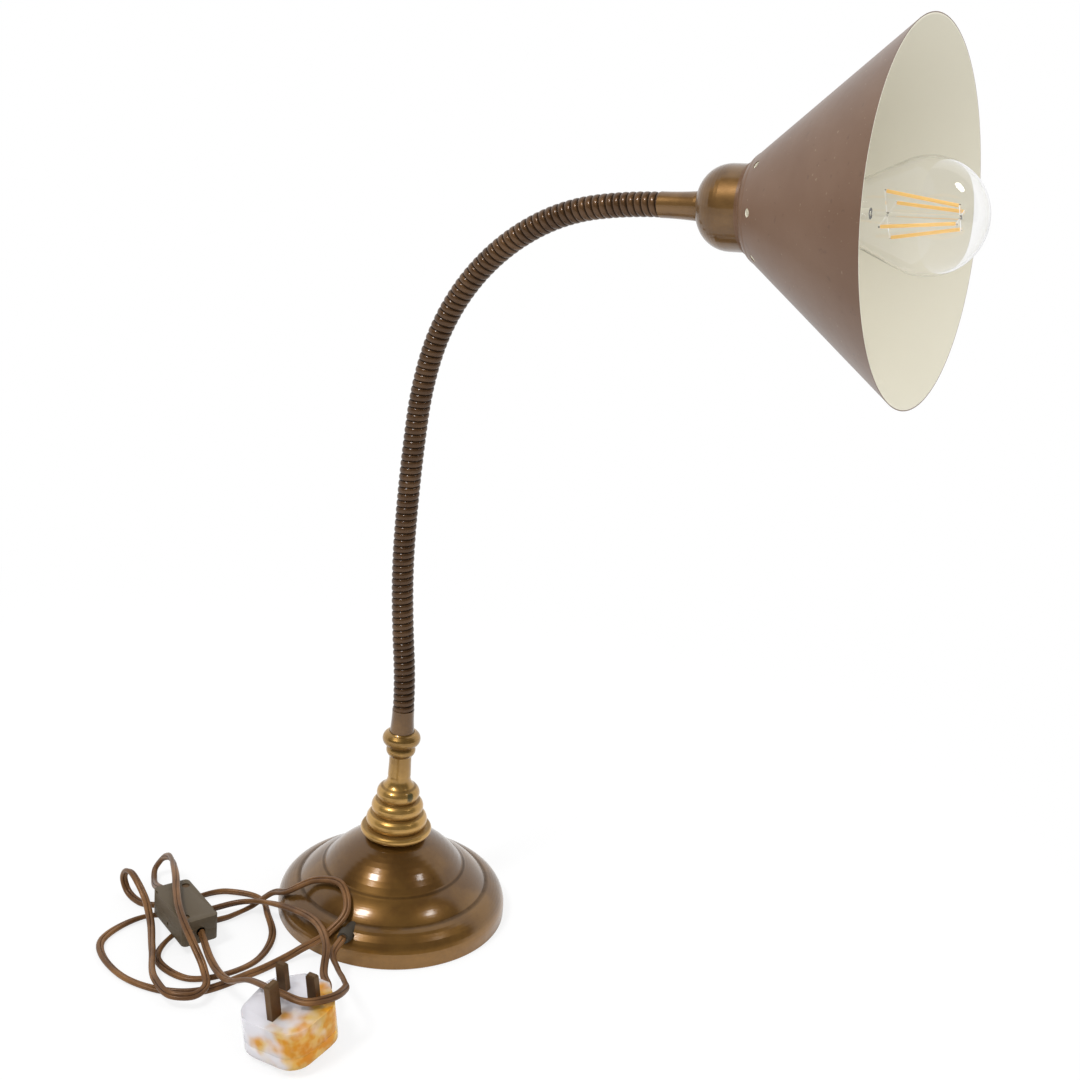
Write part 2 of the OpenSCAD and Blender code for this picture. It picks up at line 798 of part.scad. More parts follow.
module bulb_cap() {
    color("silver")
        at_head(bulb_cap_s)
            union() {
                difference() {
                    cylinder(r = bulb_cap_r, h = bulb_cap_l);
                    translate([0, 0, 2]) cylinder(r = bulb_cap_r - 0.5, h = bulb_cap_l);
                }
                for (a = [0, 180])
                    rotate([0, 0, a])
                        translate([bulb_cap_r - 0.4, 0, pin_s - bulb_cap_s])
                            rotate([0, 90, 0]) cylinder(r = pin_r, h = 2.3);
            }
}

// Half outline of the glass: neck in the cap, flared cone, round end.
function glass_profile(inset) = concat(
    [[bulb_cap_r - 0.55 - inset, bulb_cap_s + 16]],
    arc_by_sag([bulb_cap_r - 0.55 - inset, bulb_cap_s + bulb_cap_l],
               [bulb_neck_r - inset, bulb_cap_s + bulb_cap_l + 5], -0.5, 4),
    arc_about([0, bulb_s], bulb_r - inset, -bulb_start_angle, 90, 20));

module bulb_glass() {
    inner = glass_profile(glass_t);
    last = len(inner) - 1;
    color("azure", 0.4)
        at_head()
            rotate_extrude()
                polygon(concat(glass_profile(0), [for (i = [last : -1 : 0]) inner[i]]));
}

// Two crossed wires through the axis, to the filaments' ends.
module cross_wires(reach) {
    for (a = [filament_turn, filament_turn + 90])
        rotate([0, 0, a])
            translate([-reach, 0, 0]) rotate([0, 90, 0]) cylinder(r = wire_r, h = 2 * reach);
}

module bulb_mount() {
    foot_s = bulb_cap_s + mount_foot_up;
    top_r = filament_r - filament_l * sin(filament_tilt);
    top_s = filament_s + filament_l * cos(filament_tilt) + filament_dip + 2 * wire_r;
    color("lightcyan")
        union() {
            at_head(foot_s) cylinder(r = bulb_cap_r - 1.7, h = 3);
            at_head(foot_s) cylinder(r = 3, h = mount_tube_l);
            at_head(foot_s) cylinder(r = 1.2, h = top_s - foot_s);
            at_head(filament_s - wire_r - filament_dip) cross_wires(filament_r + wire_r);
            at_head(top_s - wire_r) cross_wires(top_r + wire_r);
        }
}

module led_filaments() {
    color("orange")
        at_head(filament_s)
            for (a = [filament_turn : 90 : filament_turn + 270])
                rotate([0, 0, a])
                    translate([filament_r, 0, 0])
                        rotate([0, -filament_tilt, 0]) cylinder(r = filament_thick_r, h = filament_l);
}

// ---------------------------------------------------------------- cord

// Round tube of the cord's diameter along a route.
module cord_tube(route) {
    path = smooth_route(route);
    n = len(path);
    points = [for (i = [0 : n - 1])
        let (t = unit(path[min(i + 1, n - 1)] - path[max(i - 1, 0)]),
             side = unit(cross(t, [0, 0, 1])), up = cross(side, t))
        for (k = [0 : cord_sides - 1])
            let (a = 360 * k / cord_sides) path[i] + cord_d / 2 * (side * cos(a) + up * sin(a))];
    sides = [for (i = [0 : n - 2]) for (k = [0 : cord_sides - 1])
        let (a = i * cord_sides + k, b = i * cord_sides + (k + 1) % cord_sides)
        each [[a, b, a + cord_sides], [b, b + cord_sides, a + cord_sides]]];
    first = [for (k = [cord_sides - 1 : -1 : 0]) k];
    last = [for (k = [0 : cord_sides - 1]) (n - 1) * cord_sides + k];
    polyhedron(points = points, faces = concat([first, last], sides));
}

module cord_to_switch() {
    color("sienna") cord_tube(route_to_switch);
}

module cord_to_plug() {
    color("sienna") cord_tube(route_to_plug);
}

// ---------------------------------------------------------------- switch

// Places children that are modelled rocker upwards, so that the rocker faces the table.
module at_switch() {
    translate([switch_at[0], switch_at[1], switch_top_z])
        rotate([0, 0, switch_turn])
            rotate([180, 0, 0]) children();
}

module switch_outline(inset) {
    x = switch_l / 2 - inset;
    y = switch_w / 2 - inset;
    r = switch_corner - inset;
    polygon(rounded([[-x, -y, r], [x, -y, r], [x, y, r], [-x, y, r]], 4));
}

// Holes for the cord's two ends, and for its screws where they sit.
module switch_cord_holes() {
    translate([-switch_l / 2 - 1, 0, switch_split]) rotate([0, 90, 0]) cylinder(r = 3, h = switch_l + 2);
}

screw_x = switch_l / 2 - 7;
screw_y = switch_w / 2 - 4.5;
screw_r = 1.5;

module switch_screw_places() {
    for (k = [-1, 1]) translate([k * screw_x, k * screw_y, 0]) children();
}

module switch_base() {
    notch = 3;
    color("darkolivegreen")
        at_switch()
            difference() {
                union() {
                    difference() {
                        linear_extrude(switch_split - EPS) switch_outline(0);
                        translate([0, 0, switch_wall]) linear_extrude(switch_h) switch_outline(switch_wall);
                    }
                    switch_screw_places() cylinder(r = 3, h = switch_split - EPS);
                }
                switch_screw_places() translate([0, 0, -1]) cylinder(r = screw_r + 0.1, h = switch_h);
                switch_screw_places() translate([0, 0, -1]) cylinder(r = 2.6, h = 3);
                switch_cord_holes();
                for (x = [-1, 1]) translate([x * (switch_l / 2 - 6), switch_w / 2, 0])
                    cube([notch, 1.6, 2], center = true);
                translate([switch_l / 2 - 6, -switch_w / 2, 0]) cube([notch, 1.6, 2], center = true);
            }
}

module switch_cover() {
    hole_l = rocker_l + 4 * rocker_gap;
    hole_w = rocker_w + 2 * rocker_gap;
    cheek_t = 1.6;
    color("darkolivegreen")
        at_switch()
            difference() {
                union() {
                    difference() {
                        translate([0, 0, switch_split]) linear_extrude(switch_h - switch_split) switch_outline(0);
                        translate([0, 0, -switch_wall]) linear_extrude(switch_h) switch_outline(switch_wall);
                    }
                    translate([-hole_l / 2 - bezel_w, -hole_w / 2 - bezel_w, switch_h - 1])
                        cube([hole_l + 2 * bezel_w, hole_w + 2 * bezel_w, 1 + bezel_h]);
                    for (y = [-hole_w / 2 - cheek_t, hole_w / 2])
                        translate([-4, y, rocker_pivot - 2.6]) cube([8, cheek_t, switch_h - rocker_pivot + 2]);
                    switch_screw_places()
                        translate([0, 0, switch_split]) cylinder(r = 3, h = switch_h - switch_split - 0.5);
                }
                translate([-hole_l / 2, -hole_w / 2, 0]) cube([hole_l, hole_w, switch_h + 2]);
                translate([0, switch_w / 2, rocker_pivot])
                    rotate([90, 0, 0]) cylinder(r = pivot_r + pivot_play, h = switch_w);
                switch_screw_places() cylinder(r = screw_r + 0.05, h = switch_h - 2);
                switch_cord_holes();
            }
}

module switch_rocker() {
    slope_drop = rocker_l / 2 * tan(rocker_swing / 2);
    h = rocker_top - rocker_pivot;
    color("olive")
        at_switch()
            translate([0, 0, rocker_pivot])
                rotate([0, rocker_swing / 2, 0]) {
                    rotate([90, 0, 0])
                        linear_extrude(rocker_w, center = true)
                            polygon([[-rocker_l / 2, h - slope_drop], [-rocker_l / 2 + 1, -0.5], [-2.5, -2.4],
                                     [-1.2, -4], [1.2, -4], [2.5, -2.4],
                                     [rocker_l / 2 - 1, -0.5], [rocker_l / 2, h - slope_drop], [0, h]]);
                    rotate([90, 0, 0])
                        cylinder(r = pivot_r, h = rocker_w + 2 * rocker_gap + 2.4, center = true);
                }
}

module switch_screws() {
    color("gold")
        at_switch()
            switch_screw_places() {
                translate([0, 0, 0.6]) cylinder(r = 2.5, h = 1.3);
                translate([0, 0, 0.6]) cylinder(r = screw_r, h = switch_h - 3.4);
            }
}

module switch_contacts() {
    color("gold")
        at_switch()
            for (x = [-1, 1])
                translate([x * 9 - 4, -3, switch_wall + EPS]) {
                    cube([8, 6, 1]);
                    translate([x > 0 ? 0 : 7, 0, 0]) cube([1, 6, 4]);
                }
}

// ---------------------------------------------------------------- plug

// Places children that are modelled pins upwards, with the earth pin towards +X.
module at_plug() {
    translate(plug_at) rotate(plug_turn) children();
}

module plug_outline(inset) {
    w = plug_w / 2 - inset;
    e = plug_end - inset;
    n = plug_entry - inset;
    r = plug_end_r - inset;
    polygon(rounded([[-n, -9 + inset, 3], [-14, -w, 12], [e, -w + 3, r], [e, w - 3, r],
                     [-14, w, 12], [-n, 9 - inset, 3]]));
}

// Slots for the three pins through the face.
module plug_pin_slots() {
    translate([earth_at[0], earth_at[1], 0])
        cube([earth_size[0] + 2 * pin_play, earth_size[1] + 2 * pin_play, 20], center = true);
    for (k = [-1, 1])
        translate([live_at[0], k * live_at[1], 0])
            cube([live_size[0] + 2 * pin_play, live_size[1] + 2 * pin_play, 20], center = true);
}

module plug_cord_hole() {
    translate([-plug_entry - 5, 0, -plug_h + plug_cover_h]) rotate([0, 90, 0]) cylinder(r = 2.9, h = 14);
}

plug_screw_at = [[0, 0]];

module plug_base() {
    depth = plug_h - plug_cover_h;
    color("whitesmoke", 0.5)
        at_plug()
            difference() {
                union() {
                    difference() {
                        translate([0, 0, -depth + EPS]) linear_extrude(depth - EPS) plug_outline(0);
                        translate([0, 0, -depth - 1]) linear_extrude(depth - plug_front_t + 1) plug_outline(plug_wall);
                    }
                    for (p = plug_screw_at)
                        translate([p[0], p[1], -depth + EPS]) cylinder(r = 3, h = depth - 1);
                }
                for (p = plug_screw_at)
                    translate([p[0], p[1], -depth - 1]) cylinder(r = screw_r + 0.05, h = depth - 1);
                plug_pin_slots();
                plug_cord_hole();
            }
}

module plug_cover() {
    z = -plug_h;
    rim = plug_rim;
    color("whitesmoke", 0.5)
        at_plug()
            difference() {
                union() {
                    translate([0, 0, z + rim]) linear_extrude(plug_cover_h - rim) plug_outline(0);
                    translate([0, 0, z]) linear_extrude(rim + EPS) plug_outline(rim);
                    translate([0, 0, z + 1]) linear_extrude(rim) plug_outline(rim / 2);
                }
                difference() {
                    translate([0, 0, z + rim]) linear_extrude(plug_h) plug_outline(plug_wall);
                    for (p = plug_screw_at) translate([p[0], p[1], z]) cylinder(r = 3, h = plug_h);
                }
                for (p = plug_screw_at) {
                    translate([p[0], p[1], z - 1]) cylinder(r = screw_r + 0.1, h = plug_h);
                    translate([p[0], p[1], z - 1]) cylinder(r = 2.7, h = 4);
                }
                plug_cord_hole();
            }
}

// Side view of a pin w wide, with a chamfered tip at z = h and its foot at z = foot.
module pin_side(w, h, foot) {
    tip = 1.2;
    polygon([[-w / 2, foot], [w / 2, foot], [w / 2, h - tip], [w / 2 - tip / 2, h],
             [-w / 2 + tip / 2, h], [-w / 2, h - tip]]);
}

// A flat pin of size [x, y, z] that stands on a terminal block below the face.
module plug_pin(size, block) {
    foot = -plug_front_t - 2;
    intersection() {
        rotate([90, 0, 0]) linear_extrude(size[1], center = true) pin_side(size[0], size[2], foot);
        rotate([90, 0, 90]) linear_extrude(size[0], center = true) pin_side(size[1], size[2], foot);
    }
    translate([0, 0, -plug_front_t - block[2] / 2 - EPS]) cube(block, center = true);
}

module earth_pin() {
    color("goldenrod")
        at_plug()
            translate([earth_at[0], earth_at[1], 0]) plug_pin(earth_size, earth_block);
}

module line_and_neutral_pins() {
    color("goldenrod")
        at_plug()
            for (k = [-1, 1])
                translate([live_at[0], k * live_at[1], 0]) plug_pin(live_size, live_block);
}

module plug_fuse() {
    color("gainsboro")
        at_plug()
            translate([live_at[0] + live_block[0] / 2 + 0.1, live_at[1] - fuse_in, -plug_front_t - fuse_r - 1.5])
                rotate([0, 90, 0]) cylinder(r = fuse_r, h = fuse_l);
}

module plug_screws() {
    color("gold")
        at_plug()
            for (p = plug_screw_at)
                translate([p[0], p[1], -plug_h + 1.4]) {
                    cylinder(r = 2.6, h = 1.5);
                    cylinder(r = screw_r, h = plug_h - 5);
                }
}

module plug_cord_grip() {
    floor_z = -plug_h + plug_rim + EPS;
    seam_z = -plug_h + plug_cover_h;
    color("dimgray")
        at_plug()
            difference() {
                translate([-plug_entry + plug_wall + 3, -6, floor_z]) cube([5, 12, seam_z - floor_z + 4]);
                translate([-plug_entry, 0, seam_z]) rotate([0, 90, 0]) cylinder(r = flex_r + 0.1, h = 20);
            }
}

base_shell();
base_weight();
base_felt();
cord_grommet();
threaded_tube();
tube_nut();
tube_washer();
stem_foot();
stem_collar();
lower_ferrule();
neck_turns(0);  // neck_turns_00
neck_turns(1);  // neck_turns_01
neck_turns(2);  // neck_turns_02
neck_turns(3);  // neck_turns_03
neck_turns(4);  // neck_turns_04
neck_turns(5);  // neck_turns_05
neck_turns(6);  // neck_turns_06
neck_turns(7);  // neck_turns_07
neck_turns(8);  // neck_turns_08
neck_turns(9);  // neck_turns_09
neck_turns(10);  // neck_turns_10
neck_flex(0);  // neck_flex_00
neck_flex(1);  // neck_flex_01
neck_flex(2);  // neck_flex_02
neck_flex(3);  // neck_flex_03
neck_flex(4);  // neck_flex_04
neck_flex(5);  // neck_flex_05
neck_flex(6);  // neck_flex_06
neck_flex(7);  // neck_flex_07
neck_flex(8);  // neck_flex_08
neck_flex(9);  // neck_flex_09
neck_flex(10);  // neck_flex_10
upper_ferrule();
holder_nipple();
holder_cup();
cup_nut();
holder_cap();
holder_barrel();
insulator_insert();
contact_plungers();
shade_ring();
shade();
bulb_cap();
bulb_glass();
bulb_mount();
led_filaments();
cord_to_switch();
cord_to_plug();
switch_base();
switch_cover();
switch_rocker();
switch_screws();
switch_contacts();
plug_base();
plug_cover();
earth_pin();
line_and_neutral_pins();
plug_fuse();
plug_screws();
plug_cord_grip();
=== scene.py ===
"""Gooseneck desk lamp: dressed model, finishes, studio stage and camera.

Lengths are in metres.
"""

from __future__ import annotations

import logging
import math
from dataclasses import dataclass, field
from enum import Enum
from typing import Iterable, Sequence, Union

import bmesh
import bpy
import numpy as np
from mathutils import Matrix, Vector

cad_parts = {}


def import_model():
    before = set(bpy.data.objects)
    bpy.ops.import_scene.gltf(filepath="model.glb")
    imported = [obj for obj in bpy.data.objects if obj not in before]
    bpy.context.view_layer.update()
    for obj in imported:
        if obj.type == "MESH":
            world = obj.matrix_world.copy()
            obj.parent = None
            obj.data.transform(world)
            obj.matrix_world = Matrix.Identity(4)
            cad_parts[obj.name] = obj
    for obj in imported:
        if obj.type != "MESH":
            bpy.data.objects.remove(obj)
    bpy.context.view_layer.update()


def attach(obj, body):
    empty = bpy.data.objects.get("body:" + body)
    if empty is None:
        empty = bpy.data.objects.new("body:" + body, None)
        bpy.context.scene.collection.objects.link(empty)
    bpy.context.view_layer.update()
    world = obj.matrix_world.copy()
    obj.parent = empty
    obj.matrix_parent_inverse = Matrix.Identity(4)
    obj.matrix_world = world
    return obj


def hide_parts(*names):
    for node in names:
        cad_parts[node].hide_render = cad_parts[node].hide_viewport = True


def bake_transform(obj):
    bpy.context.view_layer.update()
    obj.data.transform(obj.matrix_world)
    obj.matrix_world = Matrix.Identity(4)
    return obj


LOG = logging.getLogger("lamp")
MM = 0.001
MERGE_DISTANCE = 1e-6

Colour = tuple[float, float, float]
Point = tuple[float, float, float]
Span = tuple[float, float]

UP: Point = (0.0, 0.0, 1.0)
WHITE: Colour = (1.0, 1.0, 1.0)


def scaled(colour: Colour, factor: float) -> Colour:
    """A colour with each part times a factor."""
    return tuple(factor * part for part in colour)


# ---------------------------------------------------------------- node trees


class Value:
    """A node socket that takes part in arithmetic. Each operator adds a Math node."""

    def __init__(self, bench: "Bench", socket: bpy.types.NodeSocket) -> None:
        """Wraps a socket of the bench's tree."""
        self.bench = bench
        self.socket = socket

    def _math(self, operation: str, *terms: "Number") -> "Value":
        """Result of one Math node on the terms."""
        inputs = dict(enumerate(terms))
        return self.bench.value("ShaderNodeMath", {"operation": operation}, inputs)

    def __add__(self, other: "Number") -> "Value":
        """Sum."""
        return self._math("ADD", self, other)

    __radd__ = __add__

    def __sub__(self, other: "Number") -> "Value":
        """Difference."""
        return self._math("SUBTRACT", self, other)

    def __rsub__(self, other: "Number") -> "Value":
        """Difference from a number."""
        return self._math("SUBTRACT", other, self)

    def __mul__(self, other: "Number") -> "Value":
        """Product."""
        return self._math("MULTIPLY", self, other)

    __rmul__ = __mul__

    def __truediv__(self, other: "Number") -> "Value":
        """Quotient."""
        return self._math("DIVIDE", self, other)

    def __abs__(self) -> "Value":
        """Absolute value."""
        return self._math("ABSOLUTE", self)

    def fraction(self) -> "Value":
        """Part after the decimal point."""
        return self._math("FRACT", self)

    def root(self) -> "Value":
        """Square root."""
        return self._math("SQRT", self)

    def at_least(self, low: "Number") -> "Value":
        """The larger of the value and low."""
        return self._math("MAXIMUM", self, low)

    def angle_to(self, other: "Number") -> "Value":
        """Angle of the point (other, self) in radians."""
        return self._math("ARCTAN2", self, other)

    def step(self, low: float, high: float) -> "Value":
        """Smooth step between two levels.

        Args:
            low: Level at and below which the result is 0.
            high: Level at and above which the result is 1.

        Returns:
            The stepped value.
        """
        settings = {"interpolation_type": "SMOOTHSTEP"}
        inputs = {"Value": self, "From Min": low, "From Max": high}
        return self.bench.value("ShaderNodeMapRange", settings, inputs)


Number = Union[Value, float, int]


class Bench:
    """A node tree under construction."""

    def __init__(self, tree: bpy.types.NodeTree) -> None:
        """Takes an empty tree."""
        self.tree = tree

    def node(self, kind: str, settings: dict | None = None,
             inputs: dict | None = None) -> bpy.types.Node:
        """Adds a node.

        Args:
            kind: The node's type.
            settings: Its own settings, which are set first; stops are a ramp's.
            inputs: Value or link of each socket, by name or index.

        Returns:
            The new node.
        """
        node = self.tree.nodes.new(kind)
        for name, setting in (settings or {}).items():
            if name == "stops":
                self._set_stops(node.color_ramp, setting)
            else:
                setattr(node, name, setting)
        for key, given in (inputs or {}).items():
            if isinstance(given, Value):
                self.tree.links.new(given.socket, node.inputs[key])
            elif isinstance(given, (tuple, list)) and node.inputs[key].type == "RGBA":
                node.inputs[key].default_value = (*given, 1.0)
            else:
                node.inputs[key].default_value = given
        return node

    def value(self, kind: str, settings: dict | None = None, inputs: dict | None = None,
              output: str | int = 0) -> Value:
        """Adds a node as node() does, and returns one of its outputs."""
        return Value(self, self.node(kind, settings, inputs).outputs[output])

    @staticmethod
    def _set_stops(ramp: bpy.types.ColorRamp, stops: Sequence[tuple[float, Colour]]) -> None:
        """Gives a ramp its stops.

        Args:
            ramp: The colour ramp.
            stops: Place and colour of each stop.
        """
        while len(ramp.elements) < len(stops):
            ramp.elements.new(1.0)
        for element, (place, colour) in zip(ramp.elements, stops):
            element.position = place
            element.color = (*colour, 1.0)

    def mix(self, amount: Number, first: Value | Colour, second: Value | Colour) -> Value:
        """Colour between first and second."""
        inputs = {0: amount, 6: first, 7: second}
        return self.value("ShaderNodeMix", {"data_type": "RGBA"}, inputs, 2)

    def noise(self, place: Value, scale: float, detail: float = 3.0, rough: float = 0.55) -> Value:
        """Noise from 0 to 1 at a place."""
        inputs = {"Vector": place, "Scale": scale, "Detail": detail, "Roughness": rough}
        return self.value("ShaderNodeTexNoise", None, inputs, 0)

    def vector(self, operation: str, *terms: Value | Point) -> Value:
        """Result of one Vector Math node on the terms.

        Args:
            operation: The node's operation.
            terms: Vectors, in the order of the node's sockets.

        Returns:
            A number for a dot product, length or distance, and a vector otherwise.
        """
        output = "Value" if operation in ("DOT_PRODUCT", "LENGTH", "DISTANCE") else 0
        inputs = dict(enumerate(terms))
        return self.value("ShaderNodeVectorMath", {"operation": operation}, inputs, output)

    def times(self, vector: Value | Point, factor: Value) -> Value:
        """A vector times a number."""
        inputs = {0: vector, "Scale": factor}
        return self.value("ShaderNodeVectorMath", {"operation": "SCALE"}, inputs)

    def place(self) -> Value:
        """Object coordinates."""
        return self.value("ShaderNodeTexCoord", None, None, "Object")

    def attribute(self, name: str) -> Value:
        """A number that the mesh keeps at each point."""
        return self.value("ShaderNodeAttribute", {"attribute_name": name}, None, "Fac")

    def ray_kinds(self) -> tuple[Value, Value]:
        """Which rays look straight at a surface, and which mirror it.

        Returns:
            1 for rays from the camera or through glass, and 1 for mirrored rays.
        """
        outputs = self.node("ShaderNodeLightPath").outputs
        through = Value(self, outputs["Is Transmission Ray"])
        seen = Value(self, outputs["Is Camera Ray"]).at_least(through)
        return seen, Value(self, outputs["Is Glossy Ray"])

    def stretched(self, place: Value, scale: Point) -> Value:
        """Place with each axis scaled, for grain along a direction."""
        return self.value("ShaderNodeMapping", None, {"Vector": place, "Scale": scale})

    def bump(self, height: Value, depth: float, strength: float = 1.0) -> Value:
        """Normal bent by a height from 0 to 1 that stands for depth metres."""
        inputs = {"Height": height, "Distance": depth, "Strength": strength}
        return self.value("ShaderNodeBump", None, inputs)

    def parts(self, vector: Value) -> tuple[Value, Value, Value]:
        """The three numbers of a vector."""
        node = self.node("ShaderNodeSeparateXYZ", None, {0: vector})
        return tuple(Value(self, node.outputs[k]) for k in range(3))


# ---------------------------------------------------------------- finishes


@dataclass(frozen=True)
class Finish:
    """A material that builds itself once and is then shared."""

    name: str

    def material(self) -> bpy.types.Material:
        """Makes the material on the first call, and finds it on later ones.

        Returns:
            The finish's material.
        """
        title = f"{self.name}_finish"
        made = bpy.data.materials.get(title)
        if made is None:
            made = bpy.data.materials.new(title)
            made.use_nodes = True
            made.node_tree.nodes.clear()
            bench = Bench(made.node_tree)
            surface = bench.value("ShaderNodeBsdfPrincipled", None, self.sockets(bench, bench.place()))
            bench.node("ShaderNodeOutputMaterial", None, {"Surface": surface})
        return made

    def sockets(self, bench: Bench, place: Value) -> dict:
        """Values and links of the shader's sockets.

        Args:
            bench: The material's tree.
            place: Object coordinates.

        Returns:
            A value or link for each socket that the finish sets.
        """
        raise NotImplementedError


@dataclass(frozen=True)
class AgedMetal(Finish):
    """Lacquered metal with a cloudy patina, painted shade in its grooves, dirt specks and hairline
    scratches.

    The grooves are heights at which a dark line of painted shade runs round the piece, crest_name is
    an attribute that is 0 in a winding's grooves, which get painted shade too, stain is a blot's
    middle and reach, and below the height brighter_below the colour is brighter.
    """

    light: Colour
    dark: Colour
    roughness: float = 0.28
    metallic: float = 1.0
    cloud: float = 28.0
    coat: float = 0.35
    coat_roughness: float = 0.12
    gloss: float = 0.5
    grooves: tuple[float, ...] = ()
    groove_width: float = 0.9 * MM
    stain: tuple[Point, float] | None = None
    crest_name: str = ""
    brighter_below: float = 0.0
    brighter_span: Span = (0.7, 1.1)
    brighter_gain: float = 1.5
    cloud_levels: Span = (0.38, 0.68)
    fine_ratio: float = 9.0
    dirt_and_shade_tone: float = 0.22
    speck_scale: float = 900.0
    speck_levels: Span = (0.70, 0.76)
    crest_levels: Span = (0.05, 0.75)
    hair_stretch: Point = (40.0, 900.0, 60.0)
    relief: float = 0.05 * MM
    verdigris: Colour = (0.03, 0.055, 0.03)

    def sockets(self, bench: Bench, place: Value) -> dict:
        """Two metal colours mixed by noise, with painted shade in the grooves and darker dirt specks.

        Args:
            bench: The material's tree.
            place: Object coordinates.

        Returns:
            A value or link for each socket that the metal sets.
        """
        clouds = bench.noise(place, self.cloud, 4.0)
        fine = bench.noise(place, self.cloud * self.fine_ratio, 3.0, 0.6)
        amount = clouds.step(*self.cloud_levels) * 0.8 + fine * 0.2
        colour = bench.mix(amount, self.dark, self.light)
        height = bench.parts(place)[2]
        # the colour turns brighter below a set height
        if self.brighter_below:
            lower_part = 1.0 - height.step(*(share * self.brighter_below for share in self.brighter_span))
            colour = bench.mix(lower_part * (0.35 + 0.5 * fine), colour, scaled(self.light, self.brighter_gain))
        rough = self.roughness + clouds * 0.08 + fine * 0.07
        # dirt specks
        dirt_and_shade = bench.noise(place, self.speck_scale, 2.0).step(*self.speck_levels) * 0.55
        # painted shade: a dark line round each groove
        for groove in self.grooves:
            line = 1.0 - (abs(height - groove) / self.groove_width).step(0.25, 1.0)
            dirt_and_shade = dirt_and_shade.at_least(line * (0.25 + 0.5 * fine))
        # painted shade in the winding's grooves, where crest is 0
        if self.crest_name:
            crest = bench.attribute(self.crest_name).step(*self.crest_levels)
            dirt_and_shade = dirt_and_shade.at_least((1.0 - crest) * 0.85)
        if self.stain is not None:
            centre, reach = self.stain
            distance = bench.vector("DISTANCE", place, centre) / reach
            blot = 1.0 - (distance + (fine - 0.5) * 1.2).step(0.45, 0.85)
            colour = bench.mix(blot * 0.8, colour, self.verdigris)
            rough = rough + blot * 0.3
        # dirt specks and painted shade darken the colour, roughen it and thin its coat
        colour = bench.mix(dirt_and_shade, colour, scaled(self.dark, self.dirt_and_shade_tone))
        rough = rough + dirt_and_shade * 0.25
        hairs = bench.noise(bench.stretched(place, self.hair_stretch), 3.0, 2.0, 0.7)
        return {
            "Base Color": colour, "Metallic": self.metallic, "Roughness": rough,
            "Specular IOR Level": self.gloss,
            "Coat Weight": (1.0 - dirt_and_shade) * self.coat, "Coat Roughness": self.coat_roughness,
            "Normal": bench.bump(fine * 0.5 + hairs * 0.5, self.relief, 0.5),
        }


@dataclass(frozen=True)
class Enamel(Finish):
    """Satin enamel on sheet metal, with one colour outside and another inside the shade's cone.

    The cone is its sheet's middle: a place on the axis and the radius there, twice.
    """

    outside: Colour
    outside_worn: Colour
    inside: Colour
    origin: Point
    axis: Point
    cone: tuple[float, float, float, float]
    cloud: float = 14.0
    grain: float = 160.0
    speck_scale: float = 420.0
    dirt_scale: float = 240.0
    speck_colour: Colour = (0.35, 0.27, 0.17)
    collar: Span = (1.5 * MM, 0.5 * MM)
    border: float = 0.05 * MM
    gloss: float = 0.15
    coat: float = 0.34
    coat_roughness: float = 0.2
    relief: float = 0.03 * MM

    def sockets(self, bench: Bench, place: Value) -> dict:
        """Inside or outside by distance from the middle of the sheet.

        Args:
            bench: The material's tree.
            place: Object coordinates.

        Returns:
            A value or link for each socket that the enamel sets.
        """
        from_origin = bench.vector("SUBTRACT", place, self.origin)
        along = bench.vector("DOT_PRODUCT", from_origin, self.axis)
        sideways = bench.vector("SUBTRACT", from_origin, bench.times(self.axis, along))
        radius = bench.vector("LENGTH", sideways)
        start, start_r, end, end_r = self.cone
        slope = (end_r - start_r) / (end - start)
        cone_radius = start_r + (along - start) * slope
        neck = 1.0 - along.step(*(start - depth for depth in self.collar))
        outer = (radius - cone_radius).step(-self.border, self.border)
        outer = outer.at_least(neck)
        clouds = bench.noise(place, self.cloud, 4.0)
        fine = bench.noise(place, self.grain, 3.0)
        specks = bench.noise(place, self.speck_scale, 1.0).step(0.74, 0.77)
        dirt = bench.noise(place, self.dirt_scale, 2.0).step(0.66, 0.72) * 0.35
        paint = bench.mix(clouds.step(0.35, 0.7), self.outside, self.outside_worn)
        paint = bench.mix(specks * 0.3, paint, self.speck_colour)
        paint = bench.mix(dirt, paint, scaled(self.outside, 0.55))
        cream = bench.mix(clouds * 0.25, self.inside, scaled(self.inside, 0.93))
        rough = 0.5 - outer * 0.14 + fine * 0.08
        return {
            "Base Color": bench.mix(outer, cream, paint), "Metallic": outer * 0.12,
            "Roughness": rough, "Specular IOR Level": self.gloss,
            "Coat Weight": outer * self.coat, "Coat Roughness": self.coat_roughness,
            "Normal": bench.bump(fine, self.relief, 0.35),
        }


@dataclass(frozen=True)
class Moulding(Finish):
    """Moulded plastic or rubber with a fine grain and a little dust."""

    colour: Colour
    roughness: float = 0.5
    grain: float = 1500.0
    depth: float = 0.04 * MM
    dust: float = 0.12
    cloud: float = 60.0

    def sockets(self, bench: Bench, place: Value) -> dict:
        """Grain in the relief and dust in the colour.

        Args:
            bench: The material's tree.
            place: Object coordinates.

        Returns:
            A value or link for each socket that the moulding sets.
        """
        grain = bench.noise(place, self.grain, 2.0)
        clouds = bench.noise(place, self.cloud, 3.0)
        pale = tuple(min(1.0, 1.6 * part + 0.03) for part in self.colour)
        colour = bench.mix(clouds.step(0.45, 0.75) * self.dust, self.colour, pale)
        return {
            "Base Color": colour, "Roughness": self.roughness + clouds * 0.1,
            "Normal": bench.bump(grain, self.depth, 0.6),
        }


